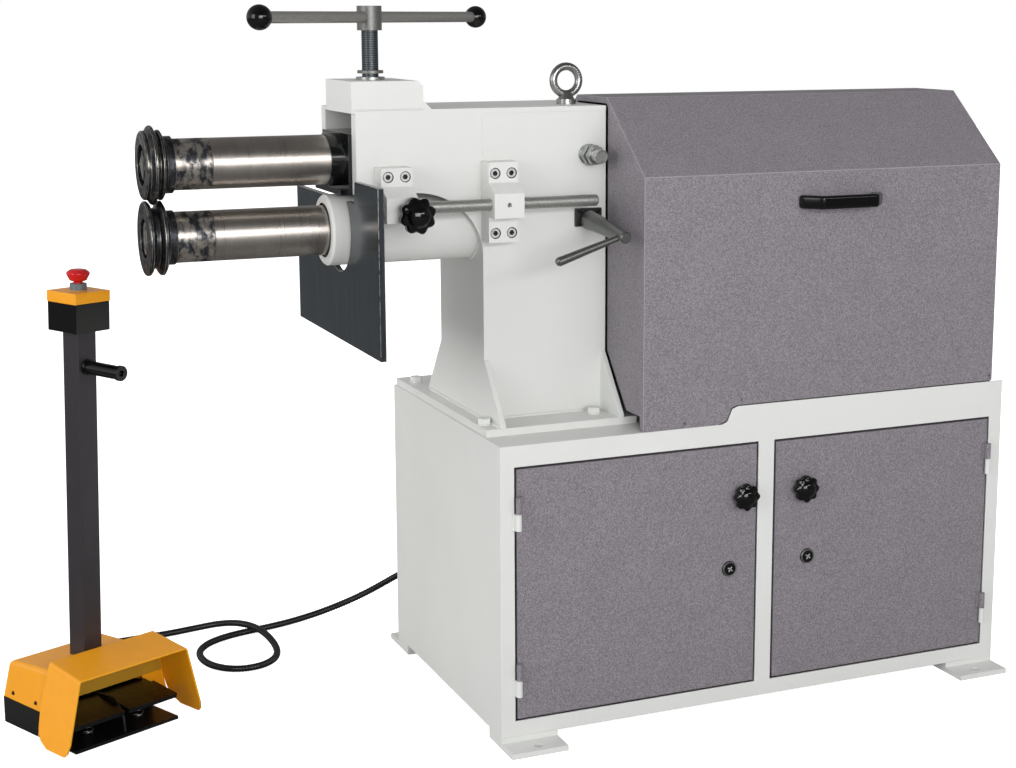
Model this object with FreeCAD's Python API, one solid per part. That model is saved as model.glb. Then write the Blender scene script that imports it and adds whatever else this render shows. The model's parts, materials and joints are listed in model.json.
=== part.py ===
import FreeCAD, Part
import math
import os
from FreeCAD import Vector

# Beading machine: two overhung shafts with forming rollers on a welded frame, a cabinet
# with two doors below, a sheet cover over the drive, and a pedal station on a conduit.
# X runs from the rollers to the cover, -Y is the operator's side, Z is up from the floor.

# Cabinet
cabinet_length = 1026.0
cabinet_depth = 568.0
cabinet_top = 537.0
cabinet_bottom = 19.5
cabinet_wall = 4.0
door_sill = 51.7
door_head = 495.5
left_door_edge = -483.0
right_door_edge = 482.0
mullion_left = -15.0
mullion_right = 17.0
door_gap = 4.0
door_skin = 2.0
door_fold = 18.0
rim_height = 31.0
rim_start = -91.0
rim_full = -58.0
hinge_radius = 5.0
hinge_stand_off = 7.0
hinge_inset = 1.0
hinge_pin_radius = 3.0
hinge_knuckle = 29.0
hinge_heights = (123.0, 419.0)
leaf_thickness = 2.5
knuckle_gap = 1.0

# Anchor feet
foot_length = 105.0
foot_reach = 49.0
foot_thickness = 10.0
foot_leg = 60.0
anchor_inset = 58.0
anchor_reach = 28.0
anchor_hole_radius = 9.0

# Door furniture
door_knob_radius = 25.0
door_knob_depth = 26.0
left_knob = (-45.0, 403.0)
right_knob = (78.0, 405.0)
knob_stem_radius = 5.0
lock_radius = 14.5
left_lock = (-72.0, 270.0)
right_lock = (90.0, 274.0)
latch_thickness = 4.0
latch_width = 18.0
latch_overlap = 8.0
lobe_count = 8

# Shafts
shaft_y = -55.0
lower_shaft_z = 890.0
centre_distance = 120.0
shaft_radius = 42.5
shaft_clearance = 0.05
roller_face_x = -1047.0
roller_length = 48.0
roller_bore = 25.0
spacer_length = 61.0
recess_depth = 12.0
nut_thickness = 6.0
nut_radius = 29.0
plug_thickness = 4.0

# Welded frame
plate = 9.0
column_left = -481.6
column_right = -248.4
column_front = -131.0
column_back = 92.0
foot_flare_z = 657.0
foot_front = -212.0
foot_back = 165.0
base_thickness = 13.0
base_left = -507.5
base_right = -222.0
base_front = -209.0
arm_end = -706.0
head_end = -712.0
arm_back = 73.0
wide_start = -560.0
arm_bottom = 954.0
arm_top = 1095.0
arm_arc_start = -602.0
arm_arc_radius = 114.0
roof_plate = 5.0
head_back = 21.0
head_top = 1143.0
head_right = -586.5
head_chamfer = 10.0
head_slope = 14.5
guide_thickness = 15.0
guide_length = 96.0
tube_radius = 61.0
tube_bore = 46.0
tube_front = -744.0
base_bolts = ((-494.6, -165.0), (-284.0, -160.0), (-486.0, 228.0), (-284.0, 228.0))
bolt_across = 21.0
bolt_head = 9.0
washer_radius = 12.5
washer_thickness = 2.5
bolt_radius = 7.0

# Upper shaft carrier
pivot_x = -282.0
trunnion_length = 60.0
trunnion_side = 63.0
trunnion_half_height = 56.0
stud_radius = 12.0
stud_front = -188.0
block_front = -712.0
block_length = 100.0
block_top = 1055.0
block_bottom = 953.0
block_side_gap = 0.5
ledge_front = -727.0
ledge_thickness = 9.0
collar_front = -739.0
collar_radius = 45.0

# Gears
gear_teeth = 24
gear_module = 5.0
gear_left = -420.0
gear_width = 46.0
gear_addendum = 0.85
gear_dedendum = 1.25
gear_backlash = 1.6

# Drive
coupling_radius = 58.0
coupling_left = -205.0
coupling_length = 92.0
lower_shaft_end = -165.0
output_radius = 25.0
output_end = -62.0
reducer_left = -104.0
reducer_right = 92.0
reducer_half_width = 90.0
reducer_half_height = 96.0
motor_radius = 74.0
motor_length = 290.0
terminal_start = 60.0
terminal_length = 90.0
terminal_half_width = 50.0
terminal_height = 38.0
pedestal_lip = 15.0
rear_bearing_radius = 68.0
rear_bearing_length = 34.0

# Control panel: each block as offset and size along X and up, and its depth
panel_inset = 83.0
panel_width = 290.0
panel_bottom = 230.0
panel_height = 230.0
panel_thickness = 3.0
panel_blocks = ((30.0, 55.0, 100.0, 90.0, 85.0), (95.0, 55.0, 100.0, 90.0, 85.0),
                (165.0, 95.0, 90.0, 110.0, 100.0), (30.0, 230.0, 25.0, 45.0, 45.0))

# Cover
cover_left = -246.0
cover_right = 488.0
cover_skin = 2.0
cover_fold_z = 980.0
cover_top = 1109.0
cover_slope_run = 155.0
cover_back = 155.0
cover_clearance = 3.0
cover_rim_gap = 2.0
cover_mouth_rim = 10.0
handle_left = 55.0
handle_right = 226.0
handle_z = 927.0
handle_half_height = 12.0
handle_reach = 40.0
handle_bar = 12.0
handle_foot = 22.0

# Pressure screw
screw_x = -655.0
screw_radius = 14.0
screw_thread_clearance = 0.08
pad_radius = 22.0
pad_thickness = 12.0
pad_gap = 0.4
screw_nut_radius = 24.0
ring_radius = 22.0
ring_thickness = 5.0
ring_gap = 6.0
hub_radius = 21.0
hub_bottom = 1226.0
hub_top = 1267.0
tee_z = 1248.0
tee_angle = 37.8
tee_radius = 9.5
tee_far = 343.0
tee_near = 296.0
ball_radius = 20.0

# Lifting eye
eye_x = -292.0
eye_z = 1137.0
eye_radius = 24.5
eye_wire = 7.0
eye_foot_radius = 17.5
eye_stem_radius = 8.0

# Material stop
stop_left = -717.0
stop_thickness = 10.0
stop_front = -281.0
stop_back = 211.0
stop_bottom = 698.0
stop_tab_top = 979.5
stop_inner_top = 943.0
stop_cut_radius = 72.0
spigot_radius = 6.0
spigot_length = 7.0
rod_y = -175.0
rod_z = 934.0
rod_radius = 10.0
rod_end = -285.0
rod_clearance = 0.08
bracket_plate = 37.0
bracket_width = 54.5
left_bracket_x = -675.0
left_bracket_top = 1001.0
middle_bracket_x = -484.5
middle_bracket_top = 1005.0
middle_bracket_bottom = 867.0
boss_front = -196.0
boss_shoulder = 970.0
boss_top = 953.6
boss_bottom = 911.5
screw_spacing = 30.0
upper_screw_z = 986.0
lower_screw_z = 883.5
screw_head_radius = 8.0
counterbore_radius = 9.3
counterbore_depth = 10.0
screw_shank_radius = 5.0
clamp_knob_x = -629.5
clamp_knob_z = 926.0
clamp_knob_radius = 31.5
clamp_knob_depth = 40.0
clamp_knob_turn = 16.0
clamp_stud_radius = 5.0

# Hand lever
lever_x = -285.0
lever_z = 896.0
lever_tilt = 5.7
lever_flange = (-309.0, -259.5, 884.0, 916.0)
lever_flange_thickness = 8.0
lever_horn_length = 150.0
lever_horn_base = 17.0
lever_horn_tip = 10.5
lever_handle_length = 128.0
lever_handle_angle = 197.7
lever_handle_root = 5.0
lever_handle_tip = 8.0

# Pedal station, in its own turned frame: U to the right, V to the back
station_x = -1190.0
station_y = -10.0
station_turn = 25.0
pedal_width = 213.0
pedal_depth = 225.0
pedal_base_height = 48.0
station_floor = 6.0
hood_skin = 3.0
hood_left = 9.0
hood_right = 233.0
hood_flare = 31.0
hood_front_v = -7.0
hood_front_z = 131.0
hood_ridge_v = 88.0
hood_ridge_z = 142.0
hood_rear_v = 212.0
hood_rear_z = 116.0
hood_rear_top = 126.0
hood_draft = 12.0
hood_side = 1.0
hood_fold_radius = 6.0
hood_rear_radius = 10.0
cheek_depth = 94.0
mouth_rear_z = 62.0
stalk_width = 40.0
stalk_wall = 3.0
stalk_u = 112.0
stalk_v = 132.0
stalk_turn = 6.2
stalk_lean = 1.5
stalk_lean_way = -33.4
post_top = 70.0
stalk_top = 711.0
grip_z = 647.0
grip_length = 88.0
grip_radius = 12.0
estop_side = 74.0
estop_body = 51.0
estop_lid = 19.0
estop_collar_radius = 14.5
estop_collar = 12.0
estop_cap_radius = 20.0
estop_cap = 20.0
estop_travel = 4.0
pedal_pivot_v = 88.0
pedal_pivot_z = 38.0
pedal_tip_v = 0.0
pedal_tip_z = 49.0
pedal_rear_v = 94.0
pedal_rear_z = 57.0
pedal_wide_v = 70.0
pedal_gap = 3.0
pedal_thickness = 4.0
pedal_pin_radius = 4.0
spring_v = 46.0
spring_radius = 9.0
spring_wire = 1.3
spring_turns = 4
spring_sections = 14
spring_gap = 0.3

# Conduit from the pedal station to the back of the cabinet
conduit_radius = 7.0
conduit_root_radius = 6.0
conduit_bore = 5.0
conduit_ribs = 196
gland_radius = 12.0
gland_length = 25.0
gland_u = 165.0
gland_z = 26.0
cabinet_gland_x = -400.0
cabinet_gland_z = 150.0
conduit_middle = (
    (-1171.0, 412.0, 18.0), (-1148.0, 462.0, 10.0), (-1102.0, 497.0, 7.0), (-1045.0, 513.0, 7.0),
    (-984.0, 517.0, 7.0), (-925.0, 521.0, 7.0), (-872.0, 523.0, 10.0), (-824.0, 510.0, 18.0),
    (-789.0, 479.0, 24.0), (-763.0, 435.0, 24.0), (-749.0, 386.0, 16.0), (-747.0, 336.0, 8.0),
    (-764.0, 290.0, 7.0), (-802.0, 262.0, 7.0), (-849.0, 264.0, 7.0), (-884.0, 297.0, 7.0),
    (-898.0, 344.0, 7.0), (-893.0, 394.0, 7.0), (-864.0, 434.0, 7.0), (-818.0, 459.0, 7.0),
    (-765.0, 472.0, 7.0), (-706.0, 484.0, 7.0), (-645.0, 501.0, 9.0), (-582.0, 515.0, 17.0),
    (-515.0, 502.0, 43.0), (-457.0, 462.0, 87.0), (-417.0, 412.0, 127.0))

upper_shaft_z = lower_shaft_z + centre_distance
half_length = cabinet_length / 2
half_depth = cabinet_depth / 2
anchor_x = half_length - anchor_inset
anchor_y = half_depth + anchor_reach
rim_top = cabinet_top + rim_height
base_top = cabinet_top + base_thickness
hinge_y = -half_depth - hinge_stand_off
left_hinge_x = left_door_edge + hinge_inset
right_hinge_x = right_door_edge - hinge_inset
hub_end_x = roller_face_x + roller_length
shaft_start_x = hub_end_x + spacer_length
recess_x = roller_face_x + recess_depth
X = Vector(1, 0, 0)
Y = Vector(0, 1, 0)
Z = Vector(0, 0, 1)


def box(x0, x1, y0, y1, z0, z1):
    """A block between two corners."""
    return Part.makeBox(x1 - x0, y1 - y0, z1 - z0, Vector(x0, y0, z0))


def rod(start, direction, radius, length):
    """A round bar from a point along a direction."""
    return Part.makeCylinder(radius, length, Vector(*start), direction)


def ring(start, direction, outer, inner, length):
    """A tube from a point along a direction."""
    return rod(start, direction, outer, length).cut(rod(start, direction, inner, length))


def cone(start, direction, first, last, length):
    """A tapered bar from a point along a direction."""
    return Part.makeCone(first, last, length, Vector(*start), direction)


def prism(points, sweep):
    """A flat outline through 3-D points, extruded along a vector."""
    corners = [Vector(*p) for p in points]
    face = Part.Face(Part.makePolygon(corners + corners[:1]))
    return face.extrude(sweep)


def bend(before, corner, after, run):
    """Start, middle, end and radius of the arc that rounds a corner from run before it."""
    come = corner - before
    go = after - corner
    turn = come.getAngle(go)
    radius = run / math.tan(turn / 2)
    come.normalize()
    go.normalize()
    bulge = go - come
    bulge.normalize()
    middle = corner + bulge * (radius / math.cos(turn / 2) - radius)
    return corner - come * run, middle, corner + go * run, radius


def along_y(outline, y0, y1):
    """An X-Z outline extruded in Y."""
    return prism([(x, y0, z) for x, z in outline], Vector(0, y1 - y0, 0))


def along_x(outline, x0, x1):
    """A Y-Z outline extruded in X."""
    return prism([(x0, y, z) for y, z in outline], Vector(x1 - x0, 0, 0))


def turned(profile, y, z):
    """Points (x, radius) turned about the X line through y, z."""
    outline = [Vector(x, y, z + r) for x, r in profile]
    outline.append(Vector(profile[-1][0], y, z))
    outline.append(Vector(profile[0][0], y, z))
    face = Part.Face(Part.makePolygon(outline + outline[:1]))
    return face.revolve(Vector(0, y, z), X, 360)


def hexagon(centre, direction, across, length):
    """A hexagonal prism, across its flats."""
    corner = across / math.sqrt(3)
    turn = FreeCAD.Rotation(Z, direction)
    points = []
    for i in range(6):
        a = math.radians(60 * i)
        arm = Vector(corner * math.cos(a), corner * math.sin(a), 0)
        points.append(Vector(*centre) + turn.multVec(arm))
    face = Part.Face(Part.makePolygon(points + points[:1]))
    return face.extrude(direction * length)


def fused(shapes):
    """Overlapping shapes joined into one clean solid."""
    return shapes[0].multiFuse(shapes[1:]).removeSplitter()


def save(node, shapes):
    """Write one sub-part as a group of separate solids."""
    solids = []
    for shape in shapes:
        solids.extend(shape.Solids)
    shape = Part.Compound(solids) if len(solids) > 1 else solids[0]
    shape.exportStep("parts/" + node + ".step")


def lobed_knob(x, z, front, back, radius, turn=0.0):
    """A knob on a Y axis with round lobes and a domed front, back at y = back."""
    depth = back - front
    lobe = radius * 0.30
    body = rod((x, front + depth * 0.28, z), Y, radius - lobe * 0.9, depth * 0.5)
    shapes = [body]
    for i in range(lobe_count):
        a = math.radians(turn) + 2 * math.pi * i / lobe_count
        cx = x + (radius - lobe) * math.cos(a)
        cz = z + (radius - lobe) * math.sin(a)
        shapes.append(rod((cx, front + depth * 0.28, cz), Y, lobe, depth * 0.5))
    shapes.append(cone((x, front, z), Y, radius * 0.45, radius * 0.66, depth * 0.3))
    shapes.append(rod((x, front + depth * 0.7, z), Y, radius * 0.42, depth * 0.3))
    return fused(shapes)


def cabinet_parts():
    """Welded cabinet, anchor feet and the frame halves of the door hinges."""
    outer = box(-half_length, half_length, -half_depth, half_depth, cabinet_bottom, cabinet_top)
    wall = cabinet_wall
    inner = box(-half_length + wall, half_length - wall, -half_depth + wall, half_depth - wall,
                cabinet_bottom + wall, cabinet_top - wall)
    body = outer.cut(inner)
    openings = ((left_door_edge - door_gap, mullion_left),
                (mullion_right, right_door_edge + door_gap))
    for x0, x1 in openings:
        body = body.cut(box(x0, x1, -half_depth - 1, -half_depth + wall + 1,
                            door_sill - door_gap, door_head + door_gap))
    divider_x = (mullion_left + mullion_right - wall) / 2
    divider = box(divider_x, divider_x + wall, -half_depth + wall - 1, half_depth - wall + 1,
                  cabinet_bottom + wall - 1, cabinet_top - wall + 1)
    middle = (rim_start + rim_full) / 2
    rim = along_y([(rim_start - 4, cabinet_top - 1), (rim_start, cabinet_top), (middle - 5, cabinet_top + 4),
                   (middle + 5, rim_top - 4), (rim_full, rim_top), (half_length, rim_top),
                   (half_length, cabinet_top - 1)], -half_depth, -half_depth + wall)
    gland_hole = rod((cabinet_gland_x, half_depth - 20, cabinet_gland_z), Y, conduit_radius + 2, 40)
    save("cabinet_body", [fused([body, divider, rim]).cut(gland_hole)])

    feet = []
    for sx in (-1, 1):
        for sy in (-1, 1):
            x0, x1 = sorted((sx * half_length, sx * (half_length - foot_length)))
            y0, y1 = sorted((sy * (half_depth + foot_reach), sy * (half_depth - foot_leg)))
            sole = box(x0, x1, y0, y1, 0, foot_thickness)
            hole = rod((sx * anchor_x, sy * anchor_y, -1), Z, anchor_hole_radius, foot_thickness + 2)
            l0, l1 = sorted((sy * half_depth, sy * (half_depth - foot_leg)))
            leg = box(x0, x1, l0, l1, foot_thickness - 1, cabinet_bottom)
            feet.append(fused([sole, leg]).cut(hole))
    save("anchor_feet", feet)

    pins = []
    for x, side in ((left_hinge_x, -1), (right_hinge_x, 1)):
        for z in hinge_heights:
            pins.append(frame_knuckle(x, side, z))
    save("door_hinge_pins", pins)


def hinge_leaf(x, side, z0, z1):
    """A welded leaf from a hinge barrel to the cabinet's front plane."""
    near, far = sorted((x + side * (hinge_radius - 2), x + side * (hinge_radius + 5)))
    return box(near, far, -half_depth - leaf_thickness, -half_depth, z0, z1)


def barrel_web(x, side, z0, z1):
    """The stem that ties a hinge barrel to its leaf."""
    near, far = sorted((x + side * 1.0, x + side * (hinge_radius + 1)))
    return box(near, far, hinge_y, -half_depth - leaf_thickness + 0.5, z0, z1)


def frame_knuckle(x, side, z):
    """The lower hinge barrel with its pin, on the cabinet's post."""
    bottom = z - hinge_knuckle
    barrel = rod((x, hinge_y, bottom), Z, hinge_radius, hinge_knuckle)
    pin = rod((x, hinge_y, z - 1), Z, hinge_pin_radius, hinge_knuckle * 0.8)
    return fused([barrel, pin, barrel_web(x, side, bottom, z), hinge_leaf(x, side, bottom, z)])


def door(x0, x1, hinge_x, side, knob, lock):
    """A folded sheet door with its two hinge barrels and holes for knob and lock."""
    pan = box(x0, x1, -half_depth, -half_depth + door_fold, door_sill, door_head)
    pocket = box(x0 + door_skin, x1 - door_skin, -half_depth + door_skin, -half_depth + door_fold + 1,
                 door_sill + door_skin, door_head - door_skin)
    shapes = [pan.cut(pocket)]
    for z in hinge_heights:
        bottom = z + knuckle_gap
        top = bottom + hinge_knuckle
        shapes.append(rod((hinge_x, hinge_y, bottom), Z, hinge_radius, hinge_knuckle))
        shapes.append(barrel_web(hinge_x, -side, bottom, top))
        shapes.append(hinge_leaf(hinge_x, -side, bottom, top))
    panel = fused(shapes)
    for z in hinge_heights:
        panel = panel.cut(rod((hinge_x, hinge_y, z), Z, hinge_pin_radius + shaft_clearance,
                              hinge_knuckle * 0.85))
    for (x, z), radius in ((knob, knob_stem_radius), (lock, lock_radius - 4)):
        panel = panel.cut(rod((x, -half_depth - 1, z), Y, radius + shaft_clearance, door_fold + 2))
    return panel


def latch(x, z, reach):
    """A turning latch plate behind a door, hanging down when open."""
    y0 = -half_depth + door_fold + 4
    half = latch_width / 2
    return box(x - half, x + half, y0, y0 + latch_thickness, z - reach, z + half)


def door_knob(place, reach):
    """A lobed knob, its stem through the door, and its latch plate."""
    x, z = place
    knob = lobed_knob(x, z, -half_depth - door_knob_depth - 0.5, -half_depth - 0.5, door_knob_radius)
    y0 = -half_depth - 2
    stem = rod((x, y0, z), Y, knob_stem_radius, door_fold + 7)
    return [fused([knob, stem, latch(x, z, reach)])]


def door_lock(place, reach):
    """A round quarter-turn lock with a flange, a barrel through the door and a cam."""
    x, z = place
    flange = cone((x, -half_depth - 3.5, z), Y, lock_radius - 1.5, lock_radius, 3.3)
    slot = box(x - 4.5, x + 4.5, -half_depth - 4, -half_depth - 1.5, z - 4.5, z + 4.5)
    barrel = rod((x, -half_depth - 1, z), Y, lock_radius - 4, door_fold + 6)
    return [fused([flange.cut(slot), barrel, latch(x, z, reach)])]


def door_parts():
    """Both doors with their knobs and locks."""
    left_edges = (left_door_edge, mullion_left - door_gap)
    right_edges = (mullion_right + door_gap, right_door_edge)
    save("left_door", [door(*left_edges, left_hinge_x, -1, left_knob, left_lock)])
    save("right_door", [door(*right_edges, right_hinge_x, 1, right_knob, right_lock)])
    save("left_door_knob", door_knob(left_knob, mullion_left - left_knob[0] + latch_overlap))
    save("right_door_knob", door_knob(right_knob, right_knob[0] - mullion_right + latch_overlap))
    save("left_door_lock", door_lock(left_lock, mullion_left - left_lock[0] + latch_overlap))
    save("right_door_lock", door_lock(right_lock, right_lock[0] - mullion_right + latch_overlap))


def foot_outline():
    """Y-Z outline of a column side plate with its spread foot."""
    return [(column_front, arm_top - plate), (column_front, foot_flare_z), (foot_front, base_top + 6),
            (foot_front, base_top), (foot_back, base_top), (foot_back, base_top + 6),
            (column_back, foot_flare_z), (column_back, arm_top - plate)]


def column_parts():
    """Base plate, column and the bolts into the cabinet."""
    sole = box(base_left, base_right, base_front, half_depth, cabinet_top, base_top)
    for x, y in base_bolts:
        sole = sole.cut(rod((x, y, cabinet_top - 1), Z, bolt_radius + shaft_clearance, base_thickness + 2))
    save("frame_base_plate", [sole])

    left_side = along_x(foot_outline(), column_left, column_left + plate)
    right_side = along_x(foot_outline(), column_right - plate, column_right)
    top = arm_top - plate
    front = box(column_left, column_right, column_front, column_front + plate, base_top, top)
    back = box(column_left, column_right, column_back - plate, column_back, base_top, top)
    column = fused([left_side, right_side, front, back])
    window = box(column_left - 1, column_left + plate + 1, column_front + plate, column_back - plate,
                 block_bottom, arm_top)
    column = column.cut(window)
    column = column.cut(rod((column_left - 1, shaft_y, lower_shaft_z), X,
                            tube_radius + shaft_clearance, plate + 2))
    column = column.cut(rod((column_right - plate - 1, shaft_y, lower_shaft_z), X,
                            shaft_radius + 2, plate + 2))
    for y0 in (column_front - 1, column_back - plate - 1):
        column = column.cut(rod((pivot_x, y0, upper_shaft_z), Y, stud_radius + shaft_clearance, plate + 2))
    save("frame_column", [column])

    bolts = []
    for x, y in base_bolts:
        washer = ring((x, y, base_top), Z, washer_radius, bolt_radius + shaft_clearance, washer_thickness)
        head = hexagon((x, y, base_top + washer_thickness), Z, bolt_across, bolt_head)
        shank = rod((x, y, cabinet_top), Z, bolt_radius, base_thickness + washer_thickness + 1)
        bolts.extend([washer, fused([head, shank])])
    save("base_bolts", bolts)


def arm_plate_outline():
    """X-Z corners of the arm's front plate without its curved throat."""
    return [(arm_end, arm_top), (arm_end, arm_bottom), (arm_arc_start, arm_bottom),
            (column_left, arm_bottom - arm_arc_radius), (column_left, arm_top)]


def throat():
    """The hollow quarter round between the arm's lower edge and the column."""
    cx, cz = arm_arc_start, arm_bottom - arm_arc_radius
    drum = Part.makeCylinder(arm_arc_radius, 4 * half_depth, Vector(cx, -2 * half_depth, cz), Y)
    low = box(arm_arc_start - 1, column_left + 0.1, -2 * half_depth, 2 * half_depth, cz - 2, arm_bottom)
    scale = FreeCAD.Matrix()
    scale.move(Vector(-cx, 0, -cz))
    scale.scale(Vector((column_left - arm_arc_start) / arm_arc_radius, 1, 1))
    scale.move(Vector(cx, 0, cz))
    return drum.transformGeometry(scale).common(low)


def arm_parts():
    """Arm with its head block and guides, the lower tube and the lifting eye."""
    under_roof = arm_top - roof_plate
    front = along_y(arm_plate_outline(), column_front, column_front + plate).cut(throat())
    back = box(arm_end, wide_start + plate, arm_back - plate, arm_back, arm_bottom, arm_top)
    wide = box(wide_start, column_left, column_back - plate, column_back, arm_bottom, arm_top)
    step = box(wide_start, wide_start + plate, arm_back - plate, column_back, arm_bottom, arm_top)
    roof = box(arm_end, wide_start, column_front, arm_back, under_roof, arm_top)
    wide_roof = box(wide_start, column_right, column_front, column_back, arm_top - plate, arm_top)
    head = along_y([(head_end, under_roof), (head_end, head_top), (head_right - head_chamfer, head_top),
                    (head_right, head_top - head_chamfer), (head_right, arm_top + head_slope),
                    (head_right + head_slope, arm_top), (head_right + head_slope, under_roof)],
                   column_front, head_back)
    shapes = [front, back, wide, step, roof, wide_roof, head]
    guide_end = arm_end + guide_length
    for y in (column_front + plate - 1, arm_back - plate - guide_thickness):
        shapes.append(box(arm_end, guide_end, y, y + guide_thickness + 1, arm_bottom, arm_top))
    arm = fused(shapes)
    arm = arm.cut(rod((screw_x, shaft_y, under_roof), Z, screw_nut_radius + shaft_clearance, head_top))
    arm = arm.cut(rod((eye_x, shaft_y, arm_top - plate - 1), Z, eye_stem_radius + shaft_clearance, plate + 2))
    save("frame_arm", [arm])

    tube = ring((tube_front, shaft_y, lower_shaft_z), X, tube_radius, tube_bore,
                column_left + plate - tube_front)
    edge = ring((tube_front - 0.1, shaft_y, lower_shaft_z), X, tube_radius + 1, tube_radius - 4, 4)
    bevel = cone((tube_front - 0.1, shaft_y, lower_shaft_z), X, tube_radius - 4, tube_radius, 4)
    save("lower_tube", [tube.cut(edge.cut(bevel))])

    loop = Part.makeTorus(eye_radius, eye_wire, Vector(eye_x, shaft_y, eye_z), Y)
    foot = rod((eye_x, shaft_y, arm_top), Z, eye_foot_radius, 9)
    neck = cone((eye_x, shaft_y, arm_top + 8), Z, eye_foot_radius - 2, eye_wire + 3, 12)
    stem = rod((eye_x, shaft_y, arm_top - plate - 8), Z, eye_stem_radius, plate + 10)
    save("eye_bolt", [fused([loop, foot, neck, stem])])


def bearing_parts():
    """Lower shaft bushes, the carrier's pivot studs and the pressure screw's nut."""
    bush_length = 46.0
    front = ring((tube_front + 3, shaft_y, lower_shaft_z), X, tube_bore - shaft_clearance,
                 shaft_radius + shaft_clearance, bush_length)
    back = ring((column_left + plate - bush_length, shaft_y, lower_shaft_z), X, tube_bore - shaft_clearance,
                shaft_radius + shaft_clearance, bush_length)
    rear = ring((column_right, shaft_y, lower_shaft_z), X, rear_bearing_radius,
                shaft_radius + shaft_clearance, rear_bearing_length)
    save("lower_shaft_bearings", [front, back, rear])

    inner_front = shaft_y - trunnion_side + 20
    inner_back = shaft_y + trunnion_side - 20
    outer_back = column_back + 40
    front_stud = rod((pivot_x, stud_front, upper_shaft_z), Y, stud_radius, inner_front - stud_front)
    back_stud = rod((pivot_x, inner_back, upper_shaft_z), Y, stud_radius, outer_back - inner_back)
    solids = [front_stud, back_stud]
    for y, way in ((column_front, -1), (column_back, 1)):
        across = Y * way
        hole = rod((pivot_x, y - 60, upper_shaft_z), Y, stud_radius + shaft_clearance, 120)
        washer = rod((pivot_x, y, upper_shaft_z), across, 19, 5)
        nut = hexagon((pivot_x, y + way * 5, upper_shaft_z), across, 34, 15)
        solids.extend([washer.cut(hole), nut.cut(hole)])
    lock_nut = hexagon((pivot_x, column_front - 24, upper_shaft_z), -Y, 30, 12)
    hole = rod((pivot_x, column_front - 60, upper_shaft_z), Y, stud_radius + shaft_clearance, 60)
    solids.append(lock_nut.cut(hole))
    save("pivot_studs", solids)

    bore = rod((screw_x, shaft_y, arm_top - 20), Z, screw_radius + screw_thread_clearance, 120)
    sleeve = rod((screw_x, shaft_y, arm_top - 4), Z, screw_nut_radius, head_top - arm_top + 4)
    flange = rod((screw_x, shaft_y, head_top), Z, ring_radius + 2.5, ring_thickness)
    save("spindle_nut", [fused([sleeve, flange]).cut(bore)])


def roller(profile, z, recess_radius):
    """A turned forming roller with a nut recess in its face and a bore."""
    body = turned([(roller_face_x + x, r) for x, r in profile], shaft_y, z)
    recess = rod((roller_face_x - 1, shaft_y, z), X, recess_radius, recess_depth + 1)
    bore = rod((roller_face_x, shaft_y, z), X, roller_bore + shaft_clearance, roller_length + 1)
    return body.cut(recess).cut(bore)


def roller_nut(z, plug):
    """The nut in a roller's recess with its raised driving plug."""
    disc = rod((recess_x - nut_thickness, shaft_y, z), X, nut_radius, nut_thickness)
    return fused([disc, plug])


def gear(z, first_tooth):
    """A spur gear with straight-flanked teeth, bored for its shaft."""
    pitch_radius = gear_teeth * gear_module / 2
    tip = pitch_radius + gear_addendum * gear_module
    root = pitch_radius - gear_dedendum * gear_module
    pitch = math.pi * gear_module
    lean = math.tan(math.radians(20))
    half = pitch / 4 - gear_backlash / 4
    points = []
    for i in range(gear_teeth):
        centre = math.radians(first_tooth + 360.0 * i / gear_teeth)
        for radius, way in ((root, -1), (tip, -1), (tip, 1), (root, 1)):
            width = half - (radius - pitch_radius) * lean
            angle = centre + way * width / radius
            points.append((gear_left, shaft_y + radius * math.cos(angle), z + radius * math.sin(angle)))
    blank = prism(points, Vector(gear_width, 0, 0))
    return blank.cut(rod((gear_left - 1, shaft_y, z), X, shaft_radius + shaft_clearance, gear_width + 2))


def shaft(z, end_x):
    """A forming shaft with the spigot that carries its roller and spacer."""
    spigot = rod((recess_x, shaft_y, z), X, roller_bore, shaft_start_x - recess_x + 1)
    body = turned([(shaft_start_x, shaft_radius - 1), (shaft_start_x + 1, shaft_radius),
                   (end_x - 2, shaft_radius), (end_x, shaft_radius - 2)], shaft_y, z)
    return fused([spigot, body])


def spacer(z):
    """The worn sleeve between the roller and the bright shaft."""
    return ring((hub_end_x, shaft_y, z), X, shaft_radius, roller_bore + shaft_clearance, spacer_length)


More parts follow.
